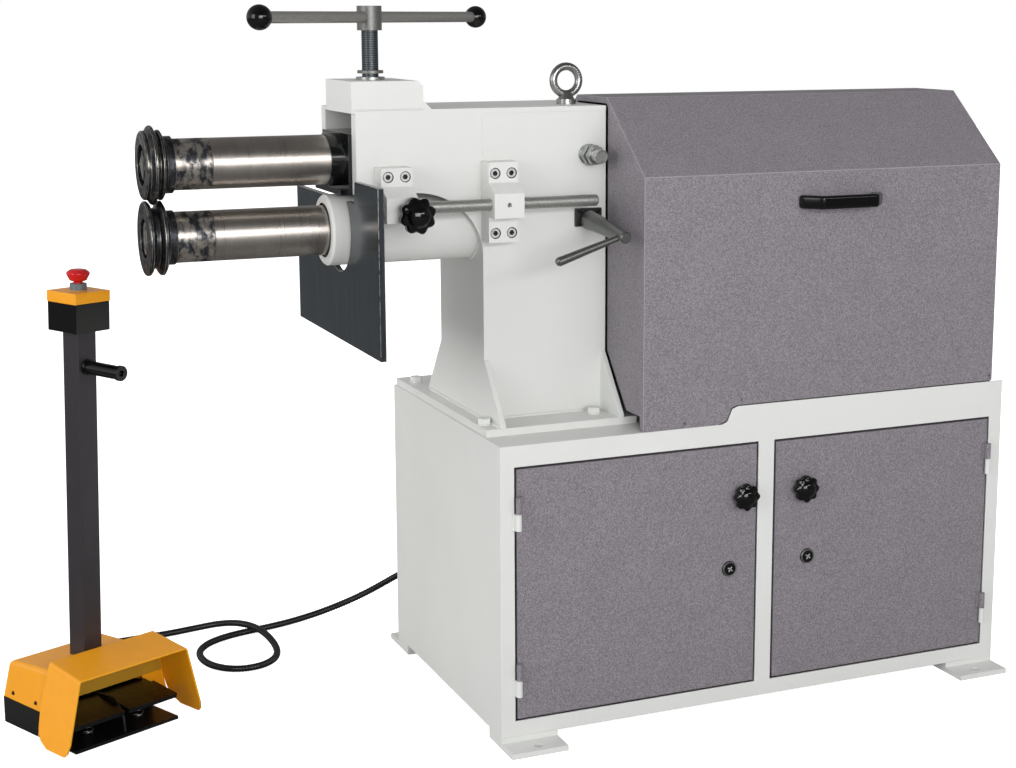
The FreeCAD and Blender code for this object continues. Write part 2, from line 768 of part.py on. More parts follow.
def shaft_parts():
    """Both shafts with rollers, spacers, gears and the coupling to the drive."""
    lower_profile = ((0, 59.5), (2, 61.5), (6, 61.5), (9, 58), (12.5, 50), (18.5, 50), (22, 58),
                     (25, 61.5), (29, 61.5), (32, 56), (35, 45), (roller_length, 45))
    upper_profile = ((0, 54.5), (2, 56.5), (7, 56.5), (9, 58), (13, 64), (15.5, 65), (18, 64), (21, 55),
                     (23, 53), (25, 56), (27, 57.5), (30, 57.5), (32, 54), (35, 47), (roller_length, 47))
    save("lower_roller", [roller(lower_profile, lower_shaft_z, 33.0)])
    save("upper_roller", [roller(upper_profile, upper_shaft_z, 34.5)])

    plug_x = recess_x - nut_thickness - plug_thickness
    oval = rod((plug_x, shaft_y, lower_shaft_z + 13), X, 14, plug_thickness + 0.5)
    oval = fused([oval, rod((plug_x, shaft_y, lower_shaft_z - 13), X, 14, plug_thickness + 0.5),
                  box(plug_x, plug_x + plug_thickness + 0.5, shaft_y - 14, shaft_y + 14,
                      lower_shaft_z - 13, lower_shaft_z + 13)])
    corner = 34 / math.sqrt(2)
    diamond = prism([(plug_x, shaft_y + corner, upper_shaft_z), (plug_x, shaft_y, upper_shaft_z + corner),
                     (plug_x, shaft_y - corner, upper_shaft_z), (plug_x, shaft_y, upper_shaft_z - corner)],
                    Vector(plug_thickness + 0.5, 0, 0))
    save("lower_roller_nut", [roller_nut(lower_shaft_z, oval)])
    save("upper_roller_nut", [roller_nut(upper_shaft_z, diamond)])

    save("lower_spacer", [spacer(lower_shaft_z)])
    save("upper_spacer", [spacer(upper_shaft_z)])
    save("lower_shaft", [shaft(lower_shaft_z, lower_shaft_end)])
    save("upper_shaft", [shaft(upper_shaft_z, column_right - plate - 3)])
    save("lower_gear", [gear(lower_shaft_z, 0.0)])
    save("upper_gear", [gear(upper_shaft_z, 180.0 / gear_teeth)])

    hub = rod((coupling_left, shaft_y, lower_shaft_z), X, coupling_radius, coupling_length)
    hub = hub.cut(rod((coupling_left - 1, shaft_y, lower_shaft_z), X, shaft_radius + shaft_clearance,
                      lower_shaft_end - coupling_left + 1.5))
    split = (coupling_left + lower_shaft_end) / 2 + 30
    groove = ring((split, shaft_y, lower_shaft_z), X, coupling_radius + 1, coupling_radius - 5, 8)
    stub = rod((coupling_left + coupling_length - 1, shaft_y, lower_shaft_z), X, output_radius,
               output_end - coupling_left - coupling_length + 1)
    save("shaft_coupling", [fused([hub.cut(groove), stub])])


def carrier_parts():
    """The tilting carrier of the upper shaft: front block and rear trunnion housing."""
    side = plate + guide_thickness + block_side_gap
    near, far = column_front + side, arm_back - side
    block = box(block_front, block_front + block_length, near, far, block_bottom, block_top)
    ledge = box(ledge_front, block_front + 1, near, far, block_bottom, block_bottom + ledge_thickness)
    collar = rod((collar_front, shaft_y, upper_shaft_z), X, collar_radius, block_front - collar_front + 1)
    bore = rod((collar_front - 1, shaft_y, upper_shaft_z), X, shaft_radius + shaft_clearance,
               block_front + block_length - collar_front + 2)
    save("upper_bearing_block", [fused([block, ledge, collar]).cut(bore)])

    x0 = pivot_x - trunnion_length / 2
    x1 = min(pivot_x + trunnion_length / 2, column_right - plate - 4)
    housing = box(x0, x1, shaft_y - trunnion_side, shaft_y + trunnion_side,
                  upper_shaft_z - trunnion_half_height, upper_shaft_z + trunnion_half_height)
    housing = housing.cut(rod((x0 - 1, shaft_y, upper_shaft_z), X, shaft_radius + shaft_clearance,
                              x1 - x0 + 2))
    housing = housing.cut(rod((pivot_x, shaft_y - trunnion_side - 1, upper_shaft_z), Y,
                              stud_radius + shaft_clearance, 2 * trunnion_side + 2))
    save("upper_trunnion_housing", [housing])


def screw_parts():
    """Pressure pad, screw with its hub and stop ring, and the sliding tee bar."""
    nose = cone((screw_x, shaft_y, block_top + pad_gap), Z, 6, pad_radius, 3)
    disc = rod((screw_x, shaft_y, block_top + pad_gap + 3), Z, pad_radius, pad_thickness - 3)
    socket_z = block_top + pad_gap + 5
    socket = rod((screw_x, shaft_y, socket_z), Z, 9 + screw_thread_clearance, pad_thickness)
    save("pressure_pad", [fused([nose, disc]).cut(socket)])

    tip = rod((screw_x, shaft_y, socket_z), Z, 9, pad_thickness)
    shank_z = block_top + pad_gap + pad_thickness + 0.2
    shank = rod((screw_x, shaft_y, shank_z), Z, screw_radius, hub_bottom - shank_z + 1)
    stop = rod((screw_x, shaft_y, head_top + ring_thickness + ring_gap), Z, ring_radius, ring_thickness)
    hub = rod((screw_x, shaft_y, hub_bottom), Z, hub_radius, hub_top - hub_bottom)
    way = Vector(math.cos(math.radians(tee_angle)), math.sin(math.radians(tee_angle)), 0)
    centre = Vector(screw_x, shaft_y, tee_z)
    cross = Part.makeCylinder(tee_radius + screw_thread_clearance, 4 * hub_radius,
                              centre - way * 2 * hub_radius, way)
    save("pressure_screw", [fused([tip, shank, stop, hub]).cut(cross)])

    bar_length = tee_far + tee_near - 2 * ball_radius + 16
    start = centre - way * (tee_near - ball_radius + 8)
    bar = Part.makeCylinder(tee_radius, bar_length, start, way)
    balls = []
    for distance in (-tee_near, tee_far):
        ball = Part.makeSphere(ball_radius, centre + way * distance)
        balls.append(ball.cut(bar))
    save("tee_bar", [bar] + balls)


def bracket_outline(top, bottom):
    """Y-Z corners of a rod bracket with the boss that carries the rod."""
    back = column_front
    face = column_front - bracket_plate
    outline = [(back, top), (face, top), (face, boss_shoulder), (boss_front, boss_top),
               (boss_front, boss_bottom)]
    if bottom < boss_bottom:
        outline.extend([(face, boss_bottom), (face, bottom)])
    outline.append((back, bottom))
    return outline


def rod_bracket(left, top, bottom, screws):
    """A rod bracket bored for the rod and for its counterbored screws."""
    shape = along_x(bracket_outline(top, bottom), left, left + bracket_width)
    shape = shape.cut(rod((left - 1, rod_y, rod_z), X, rod_radius + rod_clearance, bracket_width + 2))
    face = column_front - bracket_plate
    for x, z in screws:
        shape = shape.cut(rod((x, face - 1, z), Y, counterbore_radius, counterbore_depth + 1))
        shape = shape.cut(rod((x, face, z), Y, screw_shank_radius + 0.3, bracket_plate + 1))
    return shape


def cap_screw(x, z):
    """A socket head screw sunk in a bracket's counterbore."""
    y0 = column_front - bracket_plate + 1
    head = rod((x, y0, z), Y, screw_head_radius, counterbore_depth - 1)
    socket = hexagon((x, y0 - 0.1, z), Y, 8, 5)
    shank = rod((x, y0 + counterbore_depth - 2, z), Y, screw_shank_radius,
                bracket_plate - counterbore_depth + 1)
    return fused([head.cut(socket), shank])


def stop_parts():
    """Material stop plate on its sliding rod, the two rod brackets and the clamp knob."""
    left = stop_left
    face = left + stop_thickness
    outline = [(stop_front, stop_bottom), (stop_back, stop_bottom), (stop_back, stop_inner_top),
               (column_front - 17, stop_inner_top), (column_front - 23, stop_tab_top),
               (stop_front, stop_tab_top)]
    sheet = along_x(outline, left, face)
    slot = rod((left - 1, shaft_y, lower_shaft_z), X, stop_cut_radius, stop_thickness + 2)
    socket = rod((face - spigot_length, rod_y, rod_z), X, spigot_radius + shaft_clearance, spigot_length + 1)
    save("stop_plate", [sheet.cut(slot).cut(socket)])
    body = rod((face, rod_y, rod_z), X, rod_radius, rod_end - face - 2)
    nose = cone((rod_end - 2.5, rod_y, rod_z), X, rod_radius, rod_radius - 2, 2.5)
    tail = rod((face - spigot_length + 0.2, rod_y, rod_z), X, spigot_radius, spigot_length)
    save("stop_rod", [fused([body, nose, tail])])

    left_middle = left_bracket_x + bracket_width / 2
    right_middle = middle_bracket_x + bracket_width / 2
    half = screw_spacing / 2
    left_screws = [(left_middle - half, upper_screw_z), (left_middle + half, upper_screw_z)]
    right_screws = []
    for z in (upper_screw_z, lower_screw_z):
        right_screws.extend([(right_middle - half, z), (right_middle + half, z)])
    bore = rod((clamp_knob_x, boss_front - 1, clamp_knob_z), Y, clamp_stud_radius + shaft_clearance,
               rod_y - boss_front)
    bracket = rod_bracket(left_bracket_x, left_bracket_top, boss_bottom, left_screws)
    save("left_rod_bracket", [bracket.cut(bore)])
    set_screw = rod((right_middle, boss_front - 1, rod_z), Y, 4, rod_y - boss_front)
    bracket = rod_bracket(middle_bracket_x, middle_bracket_top, middle_bracket_bottom, right_screws)
    save("middle_rod_bracket", [bracket.cut(set_screw)])
    save("bracket_screws", [cap_screw(x, z) for x, z in left_screws + right_screws])

    back = boss_front - 1
    grip = lobed_knob(clamp_knob_x, clamp_knob_z, back - clamp_knob_depth, back, clamp_knob_radius,
                      clamp_knob_turn)
    high = rod_z - clamp_knob_z - clamp_stud_radius
    stud_end = rod_y - math.sqrt(rod_radius ** 2 - high ** 2) - 0.4
    stud = rod((clamp_knob_x, back - 1, clamp_knob_z), Y, clamp_stud_radius, stud_end - back + 1)
    save("clamp_knob", [fused([grip, stud])])


def lever_parts():
    """The hand lever: a fixed flange and a tapered horn with its handle."""
    x0, x1, z0, z1 = lever_flange
    y0 = column_front - lever_flange_thickness
    flange = box(x0, x1, y0, column_front, z0, z1)
    lean = math.radians(lever_tilt)
    way = Vector(0, -math.cos(lean), -math.sin(lean))
    root = Vector(lever_x, y0, lever_z)
    journal = Part.makeCylinder(7, 24, root - way * 2, way)
    save("lever_bracket", [fused([flange, journal])])

    base = root + way * 3
    horn = Part.makeCone(lever_horn_base, lever_horn_tip, lever_horn_length, base, way)
    cap = Part.makeCone(lever_horn_tip, lever_horn_tip - 3, 3, base + way * lever_horn_length, way)
    bore = Part.makeCylinder(7 + shaft_clearance, 20, base - way, way)
    angle = math.radians(lever_handle_angle)
    arm_way = Vector(math.cos(angle), 0, math.sin(angle))
    grip_root = base + way * (lever_horn_length - 12)
    shaped = lever_handle_length - 4
    handle = Part.makeCone(lever_handle_root, lever_handle_tip, shaped, grip_root, arm_way)
    end = Part.makeCone(lever_handle_tip, lever_handle_tip - 3, 4, grip_root + arm_way * shaped, arm_way)
    save("lever_arm", [fused([horn, cap, handle, end]).cut(bore)])


def drive_parts():
    """Gear reducer and motor on a pedestal under the cover, and the control panel."""
    near, far = shaft_y - reducer_half_width, shaft_y + reducer_half_width
    underside = lower_shaft_z - reducer_half_height
    housing = box(reducer_left, reducer_right, near, far, underside, lower_shaft_z + reducer_half_height)
    bore = rod((reducer_left - 1, shaft_y, lower_shaft_z), X, output_radius + shaft_clearance,
               output_end - reducer_left + 2)
    face = ring((reducer_left - 7, shaft_y, lower_shaft_z), X, 52, output_radius + shaft_clearance, 8)
    save("gear_reducer", [fused([housing.cut(bore), face])])

    stator = motor_length * 0.7
    body = rod((reducer_right, shaft_y, lower_shaft_z), X, motor_radius, stator)
    cowl = rod((reducer_right + stator, shaft_y, lower_shaft_z), X, motor_radius + 4, motor_length - stator)
    terminal_x = reducer_right + terminal_start
    terminal = box(terminal_x, terminal_x + terminal_length, shaft_y - terminal_half_width,
                   shaft_y + terminal_half_width, lower_shaft_z + motor_radius - 12,
                   lower_shaft_z + motor_radius + terminal_height)
    flange = rod((reducer_right, shaft_y, lower_shaft_z), X, motor_radius + 12, 14)
    save("drive_motor", [fused([body, cowl, terminal, flange])])

    deck = box(reducer_left, reducer_right, near, far, underside - plate, underside)
    sole = box(reducer_left - 10, reducer_right + 10, near - pedestal_lip, far + pedestal_lip,
               cabinet_top, cabinet_top + plate)
    low, high = cabinet_top + plate - 1, underside - plate + 1
    walls = [box(x, x + plate, near, far, low, high) for x in (reducer_left, reducer_right - plate)]
    rib = box(reducer_left, reducer_right, shaft_y - plate / 2, shaft_y + plate / 2, low, high)
    save("reducer_pedestal", [fused([deck, sole, rib] + walls)])

    panel_x = -half_length + panel_inset
    back = half_depth - cabinet_wall
    front = back - panel_thickness
    solids = [box(panel_x, panel_x + panel_width, front, back, panel_bottom, panel_bottom + panel_height)]
    for x, width, z, height, depth in panel_blocks:
        x0 = panel_x + x
        z0 = panel_bottom + z
        solids.append(box(x0, x0 + width, front - depth, front, z0, z0 + height))
    save("control_panel", solids)


def cover_outline(inset, bottom):
    """Y-Z corners of the sheet cover's section, or of its hollow when inset."""
    slope = math.atan2(cover_top - cover_fold_z, cover_slope_run)
    low = inset * math.tan(math.pi / 4 - slope / 2)
    high = inset * math.tan(slope / 2)
    front = -half_depth + inset
    back = cover_back - inset
    fold = cover_fold_z - low
    top = cover_top - inset
    return [(front, bottom), (front, fold), (-half_depth + cover_slope_run + high, top),
            (cover_back - cover_slope_run - high, top), (back, fold), (back, bottom)]


def cover_mouth():
    """The opening of the cover's left end round the column, its foot and the base plate."""
    gap = cover_clearance
    shelf = foot_front - gap - 55
    outline = [(column_front - gap, arm_top + gap), (column_front - gap, foot_flare_z),
               (foot_front - gap, base_top + 13), (shelf, base_top + 13), (shelf, cabinet_top - 1),
               (cover_back, cabinet_top - 1), (cover_back, foot_flare_z), (column_back + gap, foot_flare_z),
               (column_back + gap, arm_top + gap)]
    x0, x1 = cover_left - 1, cover_left + cover_skin + 1
    limit = along_x(cover_outline(cover_mouth_rim, cabinet_top - 2), x0, x1)
    notch = box(x0, base_right + gap, cover_back - cover_skin - cover_mouth_rim, cover_back + 1,
                cabinet_top - 1, base_top + gap)
    return along_x(outline, x0, x1).common(limit), notch


def handle_bow(left, right, reach, toe):
    """A bow seen from above, from foot to foot on the cover's front."""
    front = -half_depth
    z0 = handle_z - handle_half_height
    points = [(left, front), (left + 0.2 * toe, front - 0.4 * reach), (left + toe, front - reach),
              (right - toe, front - reach), (right - 0.2 * toe, front - 0.4 * reach), (right, front)]
    return prism([(x, y, z0) for x, y in points], Vector(0, 0, 2 * handle_half_height))


def cover_parts():
    """Sheet cover over the drive with its bridge handle."""
    outer = along_x(cover_outline(0, cabinet_top), cover_left, cover_right)
    inner = along_x(cover_outline(cover_skin, cabinet_top - 1), cover_left + cover_skin,
                    cover_right - cover_skin)
    shell = outer.cut(inner)
    middle = (rim_start + rim_full) / 2
    lift = cover_rim_gap
    step = along_y([(rim_start - 8, cabinet_top - 1), (rim_start - 4, cabinet_top + lift),
                    (middle - 7, cabinet_top + 4 + lift), (middle + 3, rim_top - 4 + lift),
                    (rim_full - 2, rim_top + lift), (cover_right + 1, rim_top + lift),
                    (cover_right + 1, cabinet_top - 1)], -half_depth - 1, -half_depth + cabinet_wall + 0.5)
    mouth, notch = cover_mouth()
    save("gear_cover", [shell.cut(step).cut(mouth).cut(notch)])

    bow = handle_bow(handle_left, handle_right, handle_reach, 29)
    gap = handle_bow(handle_left + handle_foot, handle_right - handle_foot, handle_reach - handle_bar, 15)
    save("cover_handle", [bow.cut(gap)])


def station(shape):
    """Move a shape from the pedal station's own frame to its place on the floor."""
    placed = shape.copy()
    placed.rotate(Vector(0, 0, 0), Z, station_turn)
    placed.translate(Vector(station_x, station_y, 0))
    return placed


def canopy(inset):
    """The raised front of the hood with its spread cheeks, or its hollow when inset."""
    g = inset
    top = hood_front_z
    front = hood_front_v
    rear = cheek_depth
    slope = (hood_ridge_z - top) / (hood_ridge_v - front)
    if g == 0:
        outline = [(front, top), (front, 22), (front + 4, 7), (front + 12, 0), (rear - 36, 0),
                   (rear - 14, 10), (rear - 4, 28), (rear, 60), (hood_ridge_v, hood_ridge_z)]
    else:
        outline = [(front - 20, top - 20 * slope - g), (hood_ridge_v - g, hood_ridge_z - g * (1 + slope)),
                   (rear - g, mouth_rear_z), (rear + 0.5, mouth_rear_z), (rear + 0.5, -5), (front - 20, -5)]
    body = along_x(outline, -100, pedal_width + 130)
    lean = math.atan2(hood_flare, top)
    side = g / math.cos(lean)
    middle = (hood_left + hood_right) / 2
    half = (hood_right - hood_left) / 2 - side
    drop = 12.0
    spread = drop * hood_flare / top
    foot = half + hood_flare + spread
    shoulder = half - spread
    cheeks = along_y([(middle - foot, -drop), (middle + foot, -drop), (middle + shoulder, top + drop),
                      (middle - shoulder, top + drop)], -200, 400)
    body = body.common(cheeks)
    folds = [edge for edge in body.Edges if edge.BoundBox.ZMin > top - 10 and edge.BoundBox.YLength > 40]
    return body.makeFillet(hood_fold_radius - g, folds)


def rear_hood(inset):
    """The low rear box of the hood, or its hollow when inset."""
    g = inset
    low = pedal_base_height - (8 if g else 0)
    back = pedal_depth - g
    start = cheek_depth + 0.5 if g else hood_ridge_v - 8
    outline = [(start, low), (back, low), (back, pedal_base_height), (hood_rear_v - g, hood_rear_z - g),
               (start, hood_rear_top - g)]
    body = along_x(outline, -100, pedal_width + 100)
    shoulder = hood_draft + g
    foot = hood_side + g
    sides = along_y([(foot, low - 1), (pedal_width - foot, low - 1), (pedal_width - foot, pedal_base_height),
                     (pedal_width - shoulder, hood_rear_top + 10), (shoulder, hood_rear_top + 10),
                     (foot, pedal_base_height)], -200, 400)
    body = body.common(sides)
    folds = [edge for edge in body.Edges if edge.BoundBox.ZMin > hood_rear_z - 10
             and edge.BoundBox.YMax > hood_rear_v - g - 5]
    return body.makeFillet(hood_rear_radius - g, folds)


def pedal_hood():
    """A bent sheet hood: low rear box, raised canopy and spread cheeks round the mouth."""
    shell = canopy(0).fuse(rear_hood(0))
    shell = shell.cut(canopy(hood_skin)).cut(rear_hood(hood_skin))
    half = stalk_width / 2 + 0.4
    hole = box(stalk_u - half, stalk_u + half, stalk_v - half, stalk_v + half, 80, 200)
    return shell.cut(turned_stalk(hole)).removeSplitter()


def tread_height(v):
    """Height of a pedal's upper face at a depth."""
    share = (v - pedal_tip_v) / (pedal_rear_v - pedal_tip_v)
    return pedal_tip_z + (pedal_rear_z - pedal_tip_z) * share


def pedal(wide, narrow):
    """One foot pedal: a wide front with a bent lip, a narrow rear with webs and its pivot bore."""
    t = pedal_thickness
    tip_v, tip_z = pedal_tip_v, pedal_tip_z
    front = [(tip_v, tip_z), (pedal_wide_v, tread_height(pedal_wide_v)),
             (pedal_wide_v, tread_height(pedal_wide_v) - t), (tip_v + 4, tip_z - t), (tip_v + 7, tip_z - 9),
             (tip_v + 3, tip_z - 9)]
    rear = [(pedal_wide_v - 5, tread_height(pedal_wide_v - 5)), (pedal_rear_v, pedal_rear_z),
            (pedal_rear_v, pedal_rear_z - t), (pedal_wide_v - 5, tread_height(pedal_wide_v - 5) - t)]
    shapes = [along_x(front, *wide), along_x(rear, *narrow)]
    web_v = pedal_pivot_v - 45
    web = [(web_v, tread_height(web_v) - 2), (pedal_rear_v - 1, pedal_rear_z - 2),
           (pedal_pivot_v + 8, pedal_pivot_z - 4), (pedal_pivot_v, pedal_pivot_z - 8),
           (pedal_pivot_v - 8, pedal_pivot_z - 5)]
    for u in (narrow[0], narrow[1] - 4):
        shapes.append(along_x(web, u, u + 4))
    pin = rod((wide[0] - 1, pedal_pivot_v, pedal_pivot_z), X, pedal_pin_radius + shaft_clearance,
              wide[1] - wide[0] + 2)
    return fused(shapes).cut(pin)


def pedal_spring(u):
    """A compression spring standing on the base under a pedal, one ruled loft for each turn."""
    under = tread_height(spring_v) - pedal_thickness
    bottom = station_floor + spring_gap + spring_wire
    height = under - spring_gap - spring_wire - 1.5 - bottom
    pitch = height / spring_turns
    step = 2 * math.pi / spring_sections
    circles = []
    for i in range(spring_turns * spring_sections + 1):
        a = i * step
        point = Vector(spring_radius * math.cos(a), spring_radius * math.sin(a), pitch * i / spring_sections)
        way = Vector(-spring_radius * math.sin(a), spring_radius * math.cos(a), pitch / (2 * math.pi))
        way.normalize()
        circles.append(section_circle((point, way), spring_wire))
    turns = []
    for i in range(spring_turns):
        first = i * spring_sections
        turns.append(Part.makeLoft(circles[first:first + spring_sections + 1], True, True))
    coil = turns[0].multiFuse(turns[1:])
    print("spring %d solid, valid %s, least gap %.2f" % (len(coil.Solids), coil.isValid(),
                                                         pitch - 2 * spring_wire))
    coil.translate(Vector(u, spring_v, bottom))
    return coil


def turned_stalk(shape):
    """Turn and lean a shape with the stalk, in the station's own frame."""
    placed = shape.copy()
    placed.rotate(Vector(stalk_u, stalk_v, 0), Z, stalk_turn)
    axis = Vector(-math.sin(math.radians(stalk_lean_way)), math.cos(math.radians(stalk_lean_way)), 0)
    placed.rotate(Vector(stalk_u, stalk_v, post_top), axis, stalk_lean)
    return placed


def pedal_parts():
    """Pedal base with its post and divider, hood, and both pedals with their springs."""
    middle = pedal_width / 2
    ear_v = pedal_pivot_v - 10
    floor = box(0, pedal_width, 0, pedal_depth, 0, station_floor)
    back = box(0, pedal_width, pedal_depth - 5, pedal_depth, 5, pedal_base_height)
    sides = [box(0, 4, ear_v, pedal_depth, 5, pedal_base_height),
             box(pedal_width - 4, pedal_width, ear_v, pedal_depth, 5, pedal_base_height)]
    fin = along_x([(8, 5), (pedal_depth - 4, 5), (pedal_depth - 4, 36), (stalk_v, 56), (94, 58), (64, 62),
                   (42, 61), (26, 52), (12, 32)], middle - 2, middle + 2)
    half = stalk_width / 2
    post = turned_stalk(box(stalk_u - half, stalk_u + half, stalk_v - half, stalk_v + half, 20, post_top))
    post = post.fuse(box(stalk_u - 14, stalk_u + 14, stalk_v - 14, stalk_v + 14, 4, 40))
    pin = rod((2, pedal_pivot_v, pedal_pivot_z), X, pedal_pin_radius, pedal_width - 4)
    base = fused([floor, back, fin, post, pin] + sides)
    base = base.cut(rod((gland_u, pedal_depth - 10, gland_z), Y, conduit_radius + 2, 20))
    save("pedal_base", [station(base)])
    save("pedal_hood", [station(pedal_hood())])

    edge = 4 + pedal_gap
    left = ((0, middle - 2 - pedal_gap), (edge, middle - 2 - pedal_gap))
    right = ((middle + 2 + pedal_gap, pedal_width), (middle + 2 + pedal_gap, pedal_width - edge))
    for node, (wide, narrow) in (("left_pedal", left), ("right_pedal", right)):
        save(node, [station(pedal(wide, narrow))])
        save(node + "_spring", [station(pedal_spring((narrow[0] + narrow[1]) / 2))])


def stalk_parts():
    """Stalk with its grip and the emergency stop on top."""
    def place(shape):
        return station(turned_stalk(shape))

    half = stalk_width / 2
    tube = box(stalk_u - half, stalk_u + half, stalk_v - half, stalk_v + half, post_top, stalk_top)
    tube = tube.cut(box(stalk_u - half + stalk_wall, stalk_u + half - stalk_wall, stalk_v - half + stalk_wall,
                        stalk_v + half - stalk_wall, post_top + 3, stalk_top - 3))
    save("pedal_stalk", [place(tube)])

    start = stalk_v - half
    root = rod((stalk_u, start - 4, grip_z), Y, grip_radius + 2.5, 4)
    body = rod((stalk_u, start - grip_length + 2, grip_z), Y, grip_radius, grip_length - 4)
    tip = rod((stalk_u, start - grip_length, grip_z), Y, grip_radius + 1.5, 7)
    hole = rod((stalk_u, start - grip_length - 1, grip_z), Y, 5, 9)
    save("stalk_grip", [place(fused([root, body, tip]).cut(hole))])

    side = estop_side / 2
    lid_z = stalk_top + estop_body
    collar_z = lid_z + estop_lid
    case = box(stalk_u - side, stalk_u + side, stalk_v - side, stalk_v + side, stalk_top, lid_z)
    lid = box(stalk_u - side - 1, stalk_u + side + 1, stalk_v - side - 1, stalk_v + side + 1, lid_z, collar_z)
    hole = rod((stalk_u, stalk_v, lid_z - 30), Z, 8 + shaft_clearance,
               30 + estop_lid + estop_collar + 10)
    collar = rod((stalk_u, stalk_v, collar_z), Z, estop_collar_radius, estop_collar).cut(hole)
    save("estop_box", [place(case.cut(hole)), place(fused([lid.cut(hole), collar]))])

    cap_z = collar_z + estop_collar + estop_travel + 0.4
    stem = rod((stalk_u, stalk_v, lid_z - 20), Z, 8, cap_z - lid_z + 21)
    skirt = cone((stalk_u, stalk_v, cap_z), Z, estop_cap_radius - 6, estop_cap_radius, estop_cap * 0.6)
    brim = rod((stalk_u, stalk_v, cap_z + estop_cap * 0.6), Z, estop_cap_radius, estop_cap * 0.15)
    crown = cone((stalk_u, stalk_v, cap_z + estop_cap * 0.75), Z, estop_cap_radius, estop_cap_radius - 7,
                 estop_cap * 0.25)
    save("estop_button", [place(fused([stem, skirt, brim, crown]))])


def to_floor(u, v, z):
    """A point of the pedal station's frame in the machine's frame."""
    turn = math.radians(station_turn)
    x = station_x + u * math.cos(turn) - v * math.sin(turn)
    y = station_y + u * math.sin(turn) + v * math.cos(turn)
    return Vector(x, y, z)


def conduit_route():
    """The conduit's corner points, from the pedal gland to the cabinet gland."""
    first = to_floor(gland_u, pedal_depth + gland_length, gland_z)
    second = to_floor(gland_u, pedal_depth + gland_length + 48, gland_z)
    last_but_one = Vector(cabinet_gland_x, half_depth + gland_length + 50, cabinet_gland_z)
    last = Vector(cabinet_gland_x, half_depth + gland_length, cabinet_gland_z)
    return [first, second] + [Vector(*p) for p in conduit_middle] + [last_but_one, last]


def rounded_route(points):
    """Straight runs joined by tangent arcs; returns the edges and the radii."""
    edges = []
    radii = []
    start = points[0]
    for before, corner, after in zip(points, points[1:], points[2:]):
        share = 0.45 * min(corner.distanceToPoint(before), corner.distanceToPoint(after))
        entry, middle, leave, radius = bend(before, corner, after, share)
        radii.append(radius)
        edges.append(Part.LineSegment(start, entry).toShape())
        edges.append(Part.Arc(entry, middle, leave).toShape())
        start = leave
    edges.append(Part.LineSegment(start, points[-1]).toShape())
    return edges, radii


def route_sections(edges, distances):
    """Points and directions at the given distances along the edges."""
    spans = []
    run = 0.0
    for edge in edges:
        spans.append((run, run + edge.Length, edge))
        run += edge.Length
    places = []
    for distance in distances:
        for first, last, edge in spans:
            if distance <= last or edge is spans[-1][2]:
                parameter = edge.getParameterByLength(min(max(distance - first, 0.0), edge.Length))
                way = edge.tangentAt(parameter)
                places.append((edge.valueAt(parameter), way))
                break
    return places


def section_circle(place, radius):
    """A circle square to the route, its start always on the level side."""
    point, way = place
    level = way.cross(Z)
    level.normalize()
    frame = FreeCAD.Rotation(level, level.cross(way) * -1, way, "ZXY")
    circle = Part.Circle()
    circle.Radius = radius
    edge = circle.toShape()
    edge.Placement = FreeCAD.Placement(point, frame)
    return Part.Wire(edge)


def conduit_parts():
    """The ribbed conduit with its bore, and the gland at each end."""
    points = conduit_route()
    edges, radii = rounded_route(points)
    total = sum(edge.Length for edge in edges)
    print("conduit length %.1f, smallest radius %.1f" % (total, min(radii)))
    print("radii", [round(r) for r in radii])
    plain_end = 2 * conduit_radius
    pitch = (total - 2 * plain_end) / conduit_ribs
    distances = [0.0]
    sizes = [conduit_radius]
    for i in range(conduit_ribs):
        start = plain_end + i * pitch
        for share, radius in ((0.10, conduit_radius), (0.30, conduit_root_radius),
                              (0.55, conduit_root_radius), (0.75, conduit_radius)):
            distances.append(start + share * pitch)
            sizes.append(radius)
    distances.append(total)
    sizes.append(conduit_radius)
    places = route_sections(edges, distances)
    wires = [section_circle(place, radius) for place, radius in zip(places, sizes)]
    outer = Part.makeLoft(wires, True, True)
    path = Part.Wire(edges)
    inner = path.makePipeShell([section_circle(places[0], conduit_bore)], True, True)
    tube = outer.cut(inner)
    section = math.pi * (((conduit_radius + conduit_root_radius) / 2) ** 2 - conduit_bore ** 2)
    print("conduit volume %.0f against section times length %.0f" % (tube.Volume, section * total))
    save("pedal_conduit", [tube])

    first, second = points[0], points[1]
    way = second - first
    way.normalize()
    glands = []
    for end, inward in ((first, way * -1), (points[-1], Y * -1)):
        body = Part.makeCylinder(gland_radius, gland_length - 8, end + inward * 8, inward)
        nut = hexagon(tuple(end), inward, 2 * gland_radius, 8)
        bore = Part.makeCylinder(conduit_bore, gland_length + 2, end - inward, inward)
        glands.append(fused([nut, body]).cut(bore))
    save("conduit_glands", glands)


def main():
    os.makedirs("parts", exist_ok=True)
    cabinet_parts()
    door_parts()
    column_parts()
    arm_parts()
    bearing_parts()
    shaft_parts()
    carrier_parts()
    screw_parts()
    stop_parts()
    lever_parts()
    drive_parts()
    cover_parts()
    pedal_parts()
    stalk_parts()
    conduit_parts()


main()
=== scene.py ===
import json
import math

